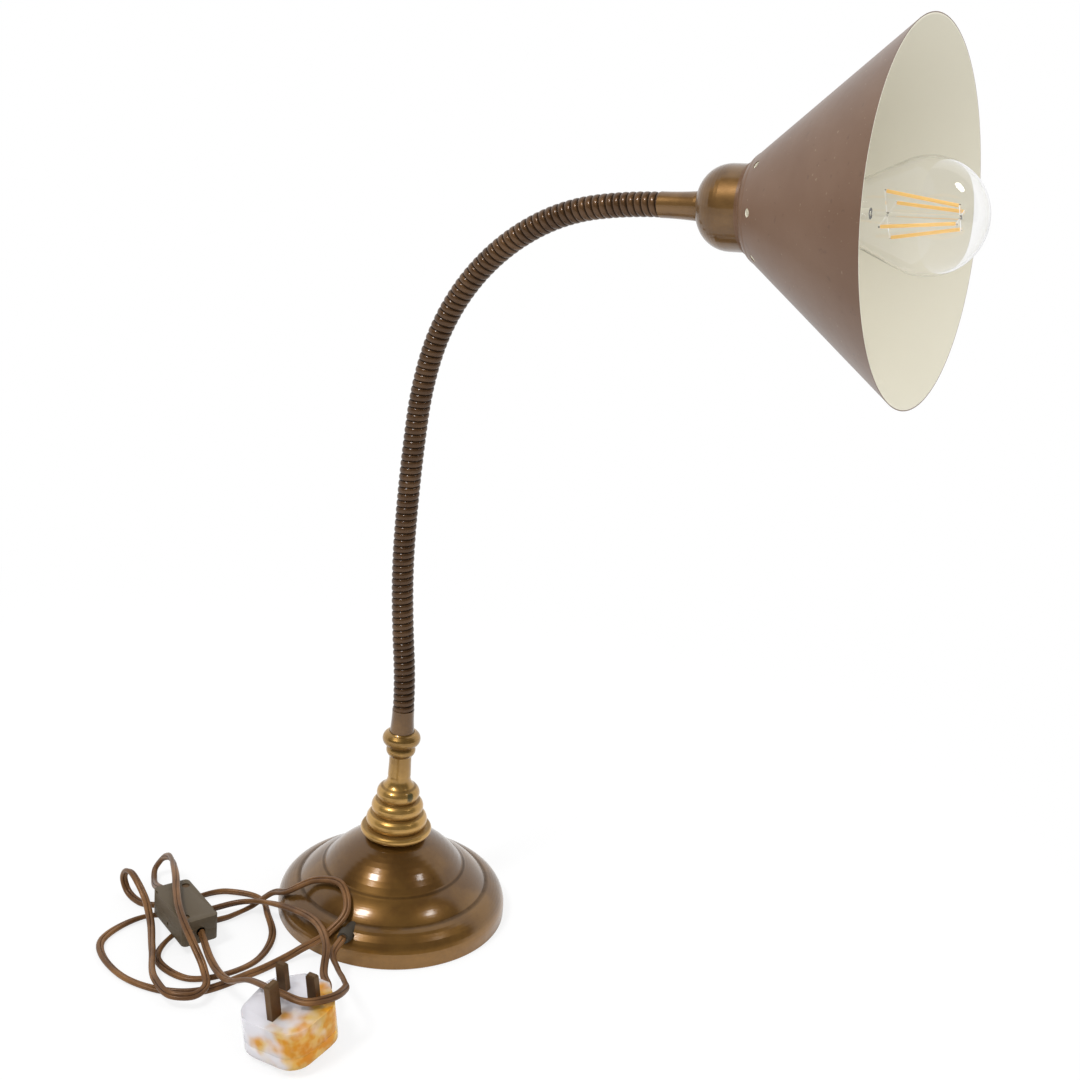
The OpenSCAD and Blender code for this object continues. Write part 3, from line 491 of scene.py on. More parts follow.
@dataclass(frozen=True)
class TwinFlex(Finish):
    """Soft brown and gold sheath of a flat twin cord, with a painted highlight along each core's crown
    and painted shade in the valley between the cores.
    """

    brown: Colour
    gold: Colour
    cloud: float = 45.0
    grain: float = 700.0
    crown_shading_share: float = 0.3
    metallic: float = 0.2
    gloss: float = 0.3
    coat: float = 0.06
    coat_roughness: float = 0.22
    relief: float = 0.03 * MM

    def sockets(self, bench: Bench, place: Value) -> dict:
        """Gold on the crowns as a painted highlight and brown in the valley between the cores as
        painted shade.

        Args:
            bench: The material's tree.
            place: Object coordinates.

        Returns:
            A value or link for each socket that the sheath sets.
        """
        # painted highlight on the crowns and painted shade in the valley between the cores
        crown_shading = bench.attribute("crown").step(0.15, 0.95)
        clouds = bench.noise(place, self.cloud, 3.0).step(0.35, 0.7)
        fine = bench.noise(place, self.grain, 2.0)
        amount = crown_shading * self.crown_shading_share + clouds * (1.0 - self.crown_shading_share)
        return {
            "Base Color": bench.mix(amount, self.brown, self.gold),
            "Roughness": 0.34 + fine * 0.12, "Metallic": self.metallic,
            "Specular IOR Level": self.gloss,
            "Coat Weight": self.coat, "Coat Roughness": self.coat_roughness,
            "Normal": bench.bump(fine, self.relief, 0.4),
        }


@dataclass(frozen=True)
class Clear(Finish):
    """Clear or frosted glass or plastic, with blots of a stain on it."""

    tint: Colour = WHITE
    ior: float = 1.45
    roughness: float = 0.0
    transmission: float = 1.0
    stain: Colour | None = None
    stain_place: tuple[Point, Point] = ((0.0, 0.0, 0.0), (1.0, 0.0, 0.0))
    stain_reach: float = 12.0 * MM
    blot_scale: float = 52.0
    blot_swing: float = 7.0
    thin_scale: float = 120.0
    pale_power: float = 0.45

    def sockets(self, bench: Bench, place: Value) -> dict:
        """Transmission, with a stain in blots that get denser along a direction from a place.

        Args:
            bench: The material's tree.
            place: Object coordinates.

        Returns:
            A value or link for each socket that the glass or plastic sets.
        """
        sockets = {
            "Base Color": self.tint, "IOR": self.ior, "Roughness": self.roughness,
            "Transmission Weight": self.transmission,
        }
        if self.stain is not None:
            start, way = self.stain_place
            reach = bench.vector("DOT_PRODUCT", bench.vector("SUBTRACT", place, start), way)
            cloud = bench.noise(place, self.blot_scale, 2.0, 0.5) - 0.5
            amount = (reach / self.stain_reach + cloud * self.blot_swing).step(-0.1, 1.3)
            pale = tuple(part ** self.pale_power for part in self.stain)
            thin = bench.noise(place, self.thin_scale, 2.0).step(0.40, 0.62)
            sockets["Base Color"] = bench.mix(amount, self.tint, bench.mix(thin, self.stain, pale))
        return sockets


@dataclass(frozen=True)
class Plain(Finish):
    """Small inner piece: one colour with a soft mottle."""

    colour: Colour
    roughness: float = 0.4
    metallic: float = 0.0
    glow: float = 0.0
    mottle_scale: float = 300.0
    deep_tone: float = 0.8
    relief: float = 0.02 * MM

    def sockets(self, bench: Bench, place: Value) -> dict:
        """Mottled colour and, for a filament, a little painted glow of its own.

        Args:
            bench: The material's tree.
            place: Object coordinates.

        Returns:
            A value or link for each socket that the small piece sets.
        """
        mottle = bench.noise(place, self.mottle_scale, 2.0)
        sockets = {
            "Base Color": bench.mix(mottle, scaled(self.colour, self.deep_tone), self.colour),
            "Roughness": self.roughness + mottle * 0.1, "Metallic": self.metallic,
            "Normal": bench.bump(mottle, self.relief, 0.4),
        }
        # painted glow: the filament shines though the bulb is not lit
        if self.glow:
            sockets["Emission Color"] = self.colour
            sockets["Emission Strength"] = self.glow
        return sockets


class Surface(Enum):
    """Named finishes of the lamp."""

    # grooves and crest_name mark where painted shade darkens the metal
    BASE_BRASS = AgedMetal(
        "base_brass", (0.185, 0.092, 0.020), (0.100, 0.045, 0.009), 0.28, metallic=0.6,
        coat=0.8, coat_roughness=0.15, gloss=0.1,
        grooves=(0.0217, 0.0336), groove_width=0.8 * MM, brighter_below=14.0 * MM)
    STEM_BRASS = AgedMetal(
        "stem_brass", (0.42, 0.245, 0.066), (0.27, 0.150, 0.038), 0.26, metallic=0.8,
        cloud=60.0, coat=0.5, coat_roughness=0.08,
        grooves=(0.0614, 0.0710, 0.0806, 0.0902, 0.1200), groove_width=0.9 * MM,
        stain=((0.0123, -0.0043, 0.0865), 4.0 * MM), brighter_below=100.0 * MM)
    NECK_BRONZE = AgedMetal(
        "neck_bronze", (0.112, 0.058, 0.024), (0.060, 0.029, 0.011), 0.34, metallic=0.5,
        cloud=40.0, coat=0.42, gloss=0.1, crest_name="crest")
    CUP_BRASS = AgedMetal(
        "cup_brass", (0.185, 0.098, 0.031), (0.105, 0.052, 0.016), 0.29, metallic=0.55,
        cloud=45.0, coat=0.8, coat_roughness=0.10, gloss=0.1)
    BARE_BRASS = AgedMetal("bare_brass", (0.60, 0.42, 0.16), (0.40, 0.26, 0.09), 0.25, coat=0.0)
    PIN_BRASS = AgedMetal("pin_brass", (0.20, 0.125, 0.065), (0.12, 0.07, 0.035), 0.42, coat=0.0)
    ZINC = AgedMetal("zinc", (0.60, 0.60, 0.58), (0.45, 0.45, 0.43), 0.35, coat=0.0)
    IRON = Moulding("iron", (0.03, 0.03, 0.03), 0.6, 400.0, 0.15 * MM)
    FELT = Moulding("felt", (0.012, 0.028, 0.016), 0.95, 2500.0, 0.2 * MM, 0.3)
    RUBBER = Moulding("grommet_rubber", (0.040, 0.030, 0.018), 0.6)
    OLIVE = Moulding("switch_plastic", (0.080, 0.056, 0.027), 0.5, 900.0, 0.06 * MM)
    BLACK = Moulding("black_insulator", (0.02, 0.02, 0.02), 0.4)
    FLEX = TwinFlex("flat_flex", (0.062, 0.026, 0.009), (0.215, 0.102, 0.035))
    GLASS = Clear("clear_glass")
    PLUG = Clear("plug_plastic", (0.91, 0.90, 0.94), 1.25, 0.16, 0.60,
                 (0.82, 0.38, 0.025), ((0.043, -0.165, 0.022), (0.95, 0.1, -0.3)))
    ALUMINIUM = AgedMetal("cap_aluminium", (0.72, 0.72, 0.72), (0.6, 0.6, 0.6), 0.3, coat=0.0)
    # the filaments get a painted glow
    AMBER = Plain("amber_filament", (0.92, 0.56, 0.17), 0.5, 0.0, 0.45)
    CERAMIC = Plain("fuse_ceramic", (0.75, 0.72, 0.62), 0.25)

    def material(self) -> bpy.types.Material:
        """The finish's shared material."""
        return self.value.material()


# ---------------------------------------------------------------- meshes


def add_mesh(name: str, points: Iterable[Sequence[float]], faces: Iterable[Sequence[int]],
             materials: Sequence[bpy.types.Material], smooth_below: float = 35.0) -> bpy.types.Object:
    """Adds a mesh object at the origin.

    Args:
        name: The piece's name.
        points: Corners in the lamp's frame.
        faces: Corner numbers of each face.
        materials: The mesh's material slots.
        smooth_below: Edges that turn by less, in degrees, are shaded smooth.

    Returns:
        The object, linked to the scene.
    """
    mesh = bpy.data.meshes.new(name)
    mesh.from_pydata([tuple(p) for p in points], [], [tuple(f) for f in faces])
    for material in materials:
        mesh.materials.append(material)
    mesh.update()
    mesh.shade_smooth()
    mesh.set_sharp_from_angle(angle=math.radians(smooth_below))
    thing = bpy.data.objects.new(name, mesh)
    bpy.context.scene.collection.objects.link(thing)
    return thing


def as_plain_mesh(thing: bpy.types.Object) -> bpy.types.Object:
    """Replaces an object by the plain mesh that its modifiers make of it.

    Args:
        thing: A mesh or curve object with modifiers.

    Returns:
        A mesh object with the same name and no modifiers.
    """
    graph = bpy.context.evaluated_depsgraph_get()
    mesh = bpy.data.meshes.new_from_object(thing.evaluated_get(graph), depsgraph=graph)
    name = thing.name
    bpy.data.objects.remove(thing)
    mesh.name = name
    result = bpy.data.objects.new(name, mesh)
    bpy.context.scene.collection.objects.link(result)
    return result


def face_outwards(mesh: bpy.types.Mesh, merge: float = 0.0) -> None:
    """Turns a closed mesh's faces outwards.

    Args:
        mesh: The mesh.
        merge: Distance below which corners are merged first.
    """
    work = bmesh.new()
    work.from_mesh(mesh)
    if merge:
        bmesh.ops.remove_doubles(work, verts=work.verts, dist=merge)
    bmesh.ops.recalc_face_normals(work, faces=work.faces)
    work.to_mesh(mesh)
    work.free()


def give_finish(mesh: bpy.types.Mesh, material: bpy.types.Material) -> None:
    """Gives a mesh one material in place of what it has."""
    mesh.materials.clear()
    mesh.materials.append(material)


@dataclass(frozen=True)
class RoundedPart:
    """A moulded piece: a CAD node's shape with rounded edges, which replaces the node."""

    node: str
    name: str
    width: float
    surface: Surface
    slot: str
    body: str = "base"
    segments: int = 3
    flat_below: float = 0.5
    round_above: float = 40.0
    smooth_below: float = 28.0

    def build(self) -> str:
        """Adds the piece; its angles are in degrees.

        Returns:
            The piece's name.
        """
        thing = bpy.data.objects.new(self.name, bpy.data.objects[self.node].data.copy())
        bpy.context.scene.collection.objects.link(thing)
        thing.data.name = self.name
        work = bmesh.new()
        work.from_mesh(thing.data)
        bmesh.ops.remove_doubles(work, verts=work.verts, dist=MERGE_DISTANCE)
        bmesh.ops.dissolve_limit(work, angle_limit=math.radians(self.flat_below),
                                 verts=work.verts, edges=work.edges)
        work.to_mesh(thing.data)
        work.free()
        give_finish(thing.data, self.surface.material())
        bevel = thing.modifiers.new("round", "BEVEL")
        bevel.width = self.width
        bevel.segments = self.segments
        bevel.limit_method = "ANGLE"
        bevel.angle_limit = math.radians(self.round_above)
        bevel.harden_normals = False
        thing = as_plain_mesh(thing)
        thing.data.shade_smooth()
        thing.data.set_sharp_from_angle(angle=math.radians(self.smooth_below))
        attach(thing, self.body)
        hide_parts(self.node)
        return thing.name


SWITCH_PARTS = (
    RoundedPart("switch_base", "switch_case_half", 0.7 * MM, Surface.OLIVE, "olive_plastic"),
    RoundedPart("switch_cover", "switch_rocker_half", 0.5 * MM, Surface.OLIVE, "olive_plastic"),
    RoundedPart("switch_rocker", "switch_button", 0.5 * MM, Surface.OLIVE, "olive_plastic", "rocker"),
)
PLUG_PARTS = (
    RoundedPart("plug_base", "plug_pin_half", 0.8 * MM, Surface.PLUG, "clear_plastic"),
    RoundedPart("plug_cover", "plug_back_half", 0.8 * MM, Surface.PLUG, "clear_plastic"),
)


# ---------------------------------------------------------------- camera and stage


@dataclass
class StudioCamera:
    """The camera that frames the lamp, with its lens and middle in pixels of the frame."""

    place: Point = (0.51886, -0.75957, 0.57622)
    right: Point = (0.85568, 0.51088, 0.0825)
    up: Point = (-0.21169, 0.20008, 0.95664)
    focal_px: float = 1530.54
    frame_px: float = 1080.0
    centre_px: tuple[float, float] = (543.39, 478.49)
    sensor: float = 36.0
    near_clip: float = 0.01

    def build(self) -> bpy.types.Object:
        """Adds the camera and makes it the scene's.

        Returns:
            The camera.
        """
        data = bpy.data.cameras.new("studio_camera")
        data.sensor_fit = "HORIZONTAL"
        data.sensor_width = self.sensor
        data.lens = self.focal_px / self.frame_px * self.sensor
        data.shift_x = 0.5 - self.centre_px[0] / self.frame_px
        data.shift_y = self.centre_px[1] / self.frame_px - 0.5
        data.clip_start = self.near_clip
        camera = bpy.data.objects.new("studio_camera", data)
        right = Vector(self.right).normalized()
        up = (Vector(self.up) - right * right.dot(Vector(self.up))).normalized()
        turn = Matrix((right, up, right.cross(up))).transposed()
        camera.matrix_world = Matrix.Translation(self.place) @ turn.to_4x4()
        bpy.context.scene.collection.objects.link(camera)
        bpy.context.scene.camera = camera
        return camera


@dataclass
class Softbox:
    """One oval softbox that faces the lamp; its angles are in degrees."""

    name: str
    azimuth: float
    elevation: float
    distance: float
    size: float
    power: float
    target: Point = (0.06, -0.02, 0.20)
    height_share: float = 1.3

    def build(self) -> None:
        """Adds the light."""
        data = bpy.data.lights.new(self.name, "AREA")
        data.shape = "ELLIPSE"
        data.size = self.size
        data.size_y = self.size * self.height_share
        data.energy = self.power
        light = bpy.data.objects.new(self.name, data)
        azimuth, elevation = math.radians(self.azimuth), math.radians(self.elevation)
        way = Vector((math.cos(azimuth) * math.cos(elevation),
                      math.sin(azimuth) * math.cos(elevation), math.sin(elevation)))
        light.location = Vector(self.target) + way * self.distance
        light.rotation_euler = way.to_track_quat("Z", "Y").to_euler()
        bpy.context.scene.collection.objects.link(light)


@dataclass
class Studio:
    """Pale floor, white surroundings and softboxes.

    From near to away the floor whitens from whitening to plain white. What the lamp mirrors is
    dark towards dark_side.
    """

    floor_size: float = 30.0
    floor_colour: Colour = (0.86, 0.86, 0.86)
    middle: Point = (0.0, -0.05, 0.0)
    near: float = 0.28
    away: float = 0.75
    whitening: float = 0.78
    floor_drop: float = 0.3 * MM
    floor_mirrored: float = 0.3
    world_level: float = 0.88
    mirror_level: float = 1.0
    mirror_dark: float = 0.92
    mirror_edge: Span = (0.04, 0.16)
    dark_side: Point = (0.52, -0.76, 0.35)
    lights: list[Softbox] = field(default_factory=lambda: [
        Softbox("left_softbox", -108.0, 54.0, 1.7, 0.34, 15.0),
        Softbox("right_softbox", 11.0, 51.0, 1.7, 0.28, 5.0),
    ])

    def build(self) -> None:
        """Makes the floor, the world and the lights."""
        self._floor()
        self._world()
        for light in self.lights:
            light.build()
        bpy.context.scene.view_settings.view_transform = "Standard"

    def _floor(self) -> None:
        """A plain white floor that keeps the lamp's shadow."""
        material = bpy.data.materials.new("studio_floor")
        material.use_nodes = True
        material.node_tree.nodes.clear()
        bench = Bench(material.node_tree)
        matte = bench.value("ShaderNodeBsdfDiffuse", None, {"Color": self.floor_colour})
        white = bench.value("ShaderNodeEmission", None, {"Color": WHITE, "Strength": 1.0})
        seen, mirrored = bench.ray_kinds()
        far = bench.vector("DISTANCE", bench.place(), self.middle).step(self.near, self.away)
        seen = seen * (self.whitening + (1.0 - self.whitening) * far)
        seen = seen.at_least(mirrored * self.floor_mirrored)
        mixed = bench.value("ShaderNodeMixShader", None, {0: seen, 1: matte, 2: white})
        bench.node("ShaderNodeOutputMaterial", None, {"Surface": mixed})
        half, low = self.floor_size / 2, -self.floor_drop
        corners = [(-half, -half, low), (half, -half, low), (half, half, low), (-half, half, low)]
        floor = add_mesh("studio_floor", corners, [(0, 1, 2, 3)], [material])

    def _world(self) -> None:
        """White round the lamp; what it mirrors is dark on the camera's side."""
        world = bpy.data.worlds.new("studio")
        world.use_nodes = True
        world.node_tree.nodes.clear()
        bench = Bench(world.node_tree)
        way = bench.value("ShaderNodeTexCoord", None, None, "Generated")
        seen, mirrored = bench.ray_kinds()
        dark_way = tuple(Vector(self.dark_side).normalized())
        facing = bench.vector("DOT_PRODUCT", way, dark_way).step(*self.mirror_edge)
        bright = (1.0 - facing * self.mirror_dark) * self.mirror_level * mirrored
        soft = bright + (1.0 - mirrored) * self.world_level
        level = seen + (1.0 - seen) * soft
        light = bench.value("ShaderNodeBackground", None, {"Color": WHITE, "Strength": level})
        bench.node("ShaderNodeOutputWorld", None, {"Surface": light})
        bpy.context.scene.world = world


# ---------------------------------------------------------------- cords


@dataclass
class TwinCord:
    """A flat twin cord that lies along a route, which is given in millimetres.

    It turns to and fro about its centreline once in each twist_length, and where it lies on the
    floor its centreline is a round cord's, at the height low, from which it sinks to its own.
    """

    name: str
    node: str
    route: Sequence[Point]
    far_end: str
    pieces: Sequence[str]
    width: float = 5.0 * MM
    thickness: float = 3.1 * MM
    step: float = 2.0 * MM
    twist_length: float = 0.21
    twist_start: float = 0.0
    twist_swing: float = 0.75
    low: float = 2.5 * MM
    sink_from: float = 6.0 * MM
    sink_over: float = 3.4 * MM
    floor_gap: float = 0.06 * MM
    level_pull: float = 0.12
    valley: float = 0.62
    edge_crown: float = 0.45
    arc_end: int = 120
    arc_step: int = 24

    @staticmethod
    def _slopes(points: np.ndarray) -> np.ndarray:
        """Direction at each point of the route, from the spans beside it.

        Args:
            points: The route's points.

        Returns:
            A direction for each point, about 1 long.
        """
        spans = np.diff(points, axis=0)
        lengths = np.linalg.norm(spans, axis=1)[:, None]
        ways = spans / lengths
        slopes = np.empty_like(points)
        slopes[0], slopes[-1] = ways[0], ways[-1]
        before, after = lengths[:-1], lengths[1:]
        slopes[1:-1] = (ways[:-1] * after + ways[1:] * before) / (after + before)
        return slopes

    def centreline(self) -> np.ndarray:
        """Closely spaced points along the route.

        Returns:
            The points, none of them below the cord's height on the floor.
        """
        points = np.array(self.route) * MM
        slopes = self._slopes(points)
        line = []
        for i in range(len(points) - 1):
            length = float(np.linalg.norm(points[i + 1] - points[i]))
            count = max(2, math.ceil(length / self.step))
            for t in np.arange(count) / count:
                blend = t * t * (3 - 2 * t)
                bow = slopes[i] * t * (1 - t) ** 2 - slopes[i + 1] * t * t * (1 - t)
                line.append(points[i] * (1 - blend) + points[i + 1] * blend + length * bow)
        line.append(points[-1])
        line = np.array(line)
        line[:, 2] = np.maximum(line[:, 2], self.low)
        return line

    def _sides(self, ways: np.ndarray) -> np.ndarray:
        """Direction across the cord at each point: level on the flat, carried along where it climbs.

        Args:
            ways: Unit direction of the cord at each point.

        Returns:
            A unit vector at right angles to each direction.
        """
        level = np.cross(ways, UP)
        sides = np.empty_like(ways)
        side = level[0]
        for k, way in enumerate(ways):
            pull = self.level_pull * math.copysign(1.0, float(level[k] @ side))
            side = side - way * float(way @ side) + pull * level[k]
            side = side / np.linalg.norm(side)
            sides[k] = side
        return sides

    def _outline(self) -> tuple[np.ndarray, np.ndarray]:
        """Cross-section of two joined cores.

        Returns:
            The section's points, and how near each one is to a core's crown.
        """
        core = self.thickness / 2
        offset = self.width / 2 - core
        angles = np.radians(np.arange(-self.arc_end, self.arc_end + 1, self.arc_step))
        right = np.stack([offset + core * np.cos(angles), core * np.sin(angles)], axis=1)
        web = np.array([[0.0, core * self.valley]])
        left = np.stack([-offset - core * np.cos(angles), -core * np.sin(angles)], axis=1)
        outline = np.concatenate([right, web, left, -web])
        crown = np.concatenate([np.ones(len(right)), [0.0], np.ones(len(left)), [0.0]])
        crown[[0, len(right) - 1, len(right) + 1, -2]] = self.edge_crown
        return outline, crown

    def build(self) -> bpy.types.Object:
        """Returns:
            The cord.
        """
        line = self.centreline()
        ways = np.gradient(line, axis=0)
        ways /= np.linalg.norm(ways, axis=1)[:, None]
        run = np.concatenate([[0.0], np.cumsum(np.linalg.norm(np.diff(line, axis=0), axis=1))])
        twist = self.twist_start + self.twist_swing * np.sin(2 * math.pi * run / self.twist_length)
        side = self._sides(ways)
        up = np.cross(side, ways)
        wide = side * np.cos(twist)[:, None] + up * np.sin(twist)[:, None]
        deep = np.cross(ways, wide)
        half = np.hypot(self.width / 2 * wide[:, 2], self.thickness / 2 * deep[:, 2])
        nearness = np.clip((self.sink_from - line[:, 2]) / self.sink_over, 0.0, 1.0)
        lowered = line[:, 2] - (self.low - half - self.floor_gap) * nearness
        line[:, 2] = np.where(nearness > 0, np.minimum(line[:, 2], lowered), line[:, 2])
        outline, crown = self._outline()
        count = len(outline)
        points = (line[:, None, :] + wide[:, None, :] * outline[None, :, :1]
                  + deep[:, None, :] * outline[None, :, 1:]).reshape(-1, 3)
        faces = [(r * count + k, r * count + (k + 1) % count,
                  (r + 1) * count + (k + 1) % count, (r + 1) * count + k)
                 for r in range(len(line) - 1) for k in range(count)]
        faces.append(tuple(range(count - 1, -1, -1)))
        faces.append(tuple((len(line) - 1) * count + k for k in range(count)))
        cord = add_mesh(self.name, points, faces, [Surface.FLEX.material()], 60.0)
        face_outwards(cord.data)
        # nearness to a core's crown, which the sheath turns into a painted highlight and shade
        attribute = cord.data.attributes.new("crown", "FLOAT", "POINT")
        attribute.data.foreach_set("value", np.tile(crown, len(line)).astype(np.float32))
        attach(cord, "base")
        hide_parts(self.node)
        list(self.pieces)
        return cord


IN_SWITCH = ("switch_screws", "switch_contacts")
IN_PLUG = ("earth_pin", "line_and_neutral_pins", "plug_fuse", "plug_screws", "plug_cord_grip")

ROUTE_TO_SWITCH: tuple[Point, ...] = (
    (16, -75.4, 18.5), (19.5, -89, 17), (33, -102, 18.5), (50, -118, 26),
    (62, -133, 33.5), (64.5, -147, 37), (56, -159, 36.5), (36, -161.5, 36),
    (12, -157, 31), (-14, -148, 15.5), (-42, -132, 9.5), (-62.3, -118.7, 14),
)
ROUTE_TO_PLUG: tuple[Point, ...] = (
    (-107.1, -99.7, 14), (-120, -94.2, 11), (-132, -87, 5.5),
    (-141.5, -79, 2.6), (-147, -72.5, 6), (-144.5, -68.8, 12.5),
    (-137, -71, 18.5), (-127, -77.5, 22.6), (-116, -87, 25.6),
    (-105, -97, 27.5), (-92, -110, 27.8), (-79, -121.5, 27.2),
    (-63, -132.5, 25.5), (-48, -140, 20.5), (-36, -145, 13), (-27, -152.5, 8.5),
    (-26, -164, 8.5), (-36, -171.5, 8.5), (-55, -166, 8), (-80, -143.5, 8),
    (-106.5, -119, 9), (-119, -111, 14), (-128, -108, 19.5),
    (-137.5, -104.5, 21.7), (-145, -101.8, 18.3), (-148, -100.7, 12),
    (-145, -101.2, 5.6), (-137, -102.6, 2.6), (-127, -103.5, 2.6),
    (-117, -98, 2.6), (-93, -59, 2.6), (-70, -52.5, 2.6), (-54, -64, 2.6),
    (-37, -79.5, 2.6), (-26.5, -110, 2.6), (-48, -147, 2.6), (-76, -143, 2.6),
    (-86, -116, 2.6), (-72, -80, 2.6), (-67.5, -64, 4.2), (-57.5, -55.5, 13.5),
    (-44.5, -58, 20.5), (-27, -50, 32), (-4, -51, 37), (8, -62, 28),
    (4, -75, 17.5), (-9, -86, 6), (-18, -115, 2.6), (-36, -156, 2.6),
    (-80, -169, 2.6), (-117, -150, 2.6), (-116, -116, 2.6), (-94, -94, 2.6),
    (-70, -69, 8.5), (-30, -69, 18.5), (1, -80, 24), (17, -93, 23),
    (29, -110, 16.2), (38.5, -118, 16.8), (43.2, -126.5, 17.2), (43.8, -135.5, 16.3),
)


# ---------------------------------------------------------------- neck


@dataclass
class WoundNeck:
    """The flexible neck: one wound strip, in lengths that each bend over one hinge.

    The bends are in degrees, one for each stretch of the neck at rest.
    """

    start: Point = (0.0, 0.0, 0.145)
    stretch: float = 39.3 * MM
    turns: int = 9
    bends: tuple[float, ...] = (-7, 3, 5, 2, 2, 10, 15, 15, 15, 17, 8)
    groove_radius: float = 6.15 * MM
    crest_radius: float = 7.0 * MM
    sides: int = 40
    rings_per_turn: int = 14
    crest_share: float = 0.88
    end_margin: float = 1.0 * MM
    smooth_below: float = 70.0
    phase_lift: float = 8.0

    def centreline(self, samples: int = 60) -> tuple[np.ndarray, np.ndarray]:
        """Line along the middle of the whole neck.

        Args:
            samples: Points in each stretch.

        Returns:
            The points, and the length of the neck up to each.
        """
        place = np.array(self.start)
        heading = 0.0
        points = [place]
        for bend in self.bends:
            for _ in range(samples):
                turn = math.radians(bend) / samples
                way = heading + turn / 2
                ahead = np.array([math.sin(way), 0.0, math.cos(way)])
                place = place + self.stretch / samples * ahead
                heading += turn
                points.append(place)
        line = np.array(points)
        run = np.concatenate([[0.0], np.cumsum(np.linalg.norm(np.diff(line, axis=0), axis=1))])
        return line, run

    def _winding(self) -> bpy.types.NodeTree:
        """Geometry nodes that wind a strip round a curve.

        Returns:
            The tree, whose inputs are the winding's sizes.
        """
        tree = bpy.data.node_groups.new("wound_strip", "GeometryNodeTree")
        face = tree.interface
        face.new_socket("Geometry", in_out="INPUT", socket_type="NodeSocketGeometry")
        for name in ("Pitch", "Groove Radius", "Crest Height", "Crest Share", "Start Turn", "Step"):
            face.new_socket(name, in_out="INPUT", socket_type="NodeSocketFloat")
        face.new_socket("Sides", in_out="INPUT", socket_type="NodeSocketInt")
        face.new_socket("Material", in_out="INPUT", socket_type="NodeSocketMaterial")
        face.new_socket("Geometry", in_out="OUTPUT", socket_type="NodeSocketGeometry")
        bench = Bench(tree)
        given = {s.name: Value(bench, s) for s in bench.node("NodeGroupInput").outputs if s.name}
        curve = bench.value("GeometryNodeResampleCurve", {"mode": "LENGTH"},
                            {"Curve": given["Geometry"], "Length": given["Step"]})
        length = bench.value("GeometryNodeSplineParameter", output="Length")
        middle = bench.value("GeometryNodeInputPosition")
        tangent = bench.value("GeometryNodeInputTangent")
        curve, along = self._capture(bench, curve, "FLOAT", length)
        curve, centre = self._capture(bench, curve, "VECTOR", middle)
        curve, way = self._capture(bench, curve, "VECTOR", tangent)
        ring = bench.value("GeometryNodeCurvePrimitiveCircle", {"mode": "RADIUS"},
                           {"Resolution": given["Sides"], "Radius": given["Groove Radius"]})
        tube = bench.value("GeometryNodeCurveToMesh", None,
                           {"Curve": curve, "Profile Curve": ring, "Fill Caps": True})
        spoke = bench.vector("SUBTRACT", bench.value("GeometryNodeInputPosition"), centre)
        spoke = bench.vector("NORMALIZE", spoke)
        across = bench.vector("CROSS_PRODUCT", (0.0, 1.0, 0.0), way)
        aside = bench.vector("DOT_PRODUCT", spoke, (0.0, 1.0, 0.0))
        angle = aside.angle_to(bench.vector("DOT_PRODUCT", spoke, across)) / (2 * math.pi)
        # whole turns are added to keep the sum above 0
        phase = (given["Start Turn"] + along / given["Pitch"] - angle + self.phase_lift).fraction()
        offset = (phase - 0.5) * 2.0 / given["Crest Share"]
        crest = (1.0 - offset * offset).at_least(0.0).root()
        lift = bench.times(spoke, crest * given["Crest Height"])
        tube = bench.value("GeometryNodeSetPosition", None, {"Geometry": tube, "Offset": lift})
        tube = bench.value("GeometryNodeStoreNamedAttribute",
                           {"data_type": "FLOAT", "domain": "POINT"},
                           {"Geometry": tube, "Name": "crest", "Value": crest})
        tube = bench.value("GeometryNodeRealizeInstances", None, {0: tube})
        tube = bench.value("GeometryNodeSetMaterial", None,
                           {"Geometry": tube, "Material": given["Material"]})
        bench.node("NodeGroupOutput", None, {0: tube})
        return tree

    @staticmethod
    def _capture(bench: Bench, geometry: Value, kind: str, what: Value) -> tuple[Value, Value]:
        """Keeps a field on a geometry.

        Args:
            bench: The tree.
            geometry: What carries the field.
            kind: Its data type.
            what: The field.

        Returns:
            The geometry and the kept field.
        """
        node = bench.tree.nodes.new("GeometryNodeCaptureAttribute")
        node.capture_items.new(kind, "kept")
        bench.tree.links.new(geometry.socket, node.inputs[0])
        bench.tree.links.new(what.socket, node.inputs[1])
        return Value(bench, node.outputs[0]), Value(bench, node.outputs[1])

    def _length(self, tree: bpy.types.NodeTree, index: int, points: np.ndarray,
                start: float) -> bpy.types.Object:
        """Winds one length of the strip.

        Args:
            tree: The winding's nodes.
            index: The length's number.
            points: Points along its middle.
            start: Length of the neck before it.

        Returns:
            The length, as a plain mesh.
        """
        data = bpy.data.curves.new(f"neck_strip_{index:02d}", "CURVE")
        data.dimensions = "3D"
        spline = data.splines.new("POLY")
        spline.points.add(len(points) - 1)
        spline.points.foreach_set("co", np.hstack([points, np.ones((len(points), 1))]).ravel())
        thing = bpy.data.objects.new(data.name, data)
        bpy.context.scene.collection.objects.link(thing)
        winding = thing.modifiers.new("winding", "NODES")
        winding.node_group = tree
        pitch = self.stretch / self.turns
        sizes = {
            "Pitch": pitch, "Groove Radius": self.groove_radius,
            "Crest Height": self.crest_radius - self.groove_radius, "Crest Share": self.crest_share,
            "Start Turn": start / pitch, "Step": pitch / self.rings_per_turn, "Sides": self.sides,
            "Material": Surface.NECK_BRONZE.material(),
        }
        for item in tree.interface.items_tree:
            if item.in_out == "INPUT" and item.name in sizes:
                winding[item.identifier] = sizes[item.name]
        strip = as_plain_mesh(thing)
        strip.data.shade_smooth()
        strip.data.set_sharp_from_angle(angle=math.radians(self.smooth_below))
        return strip

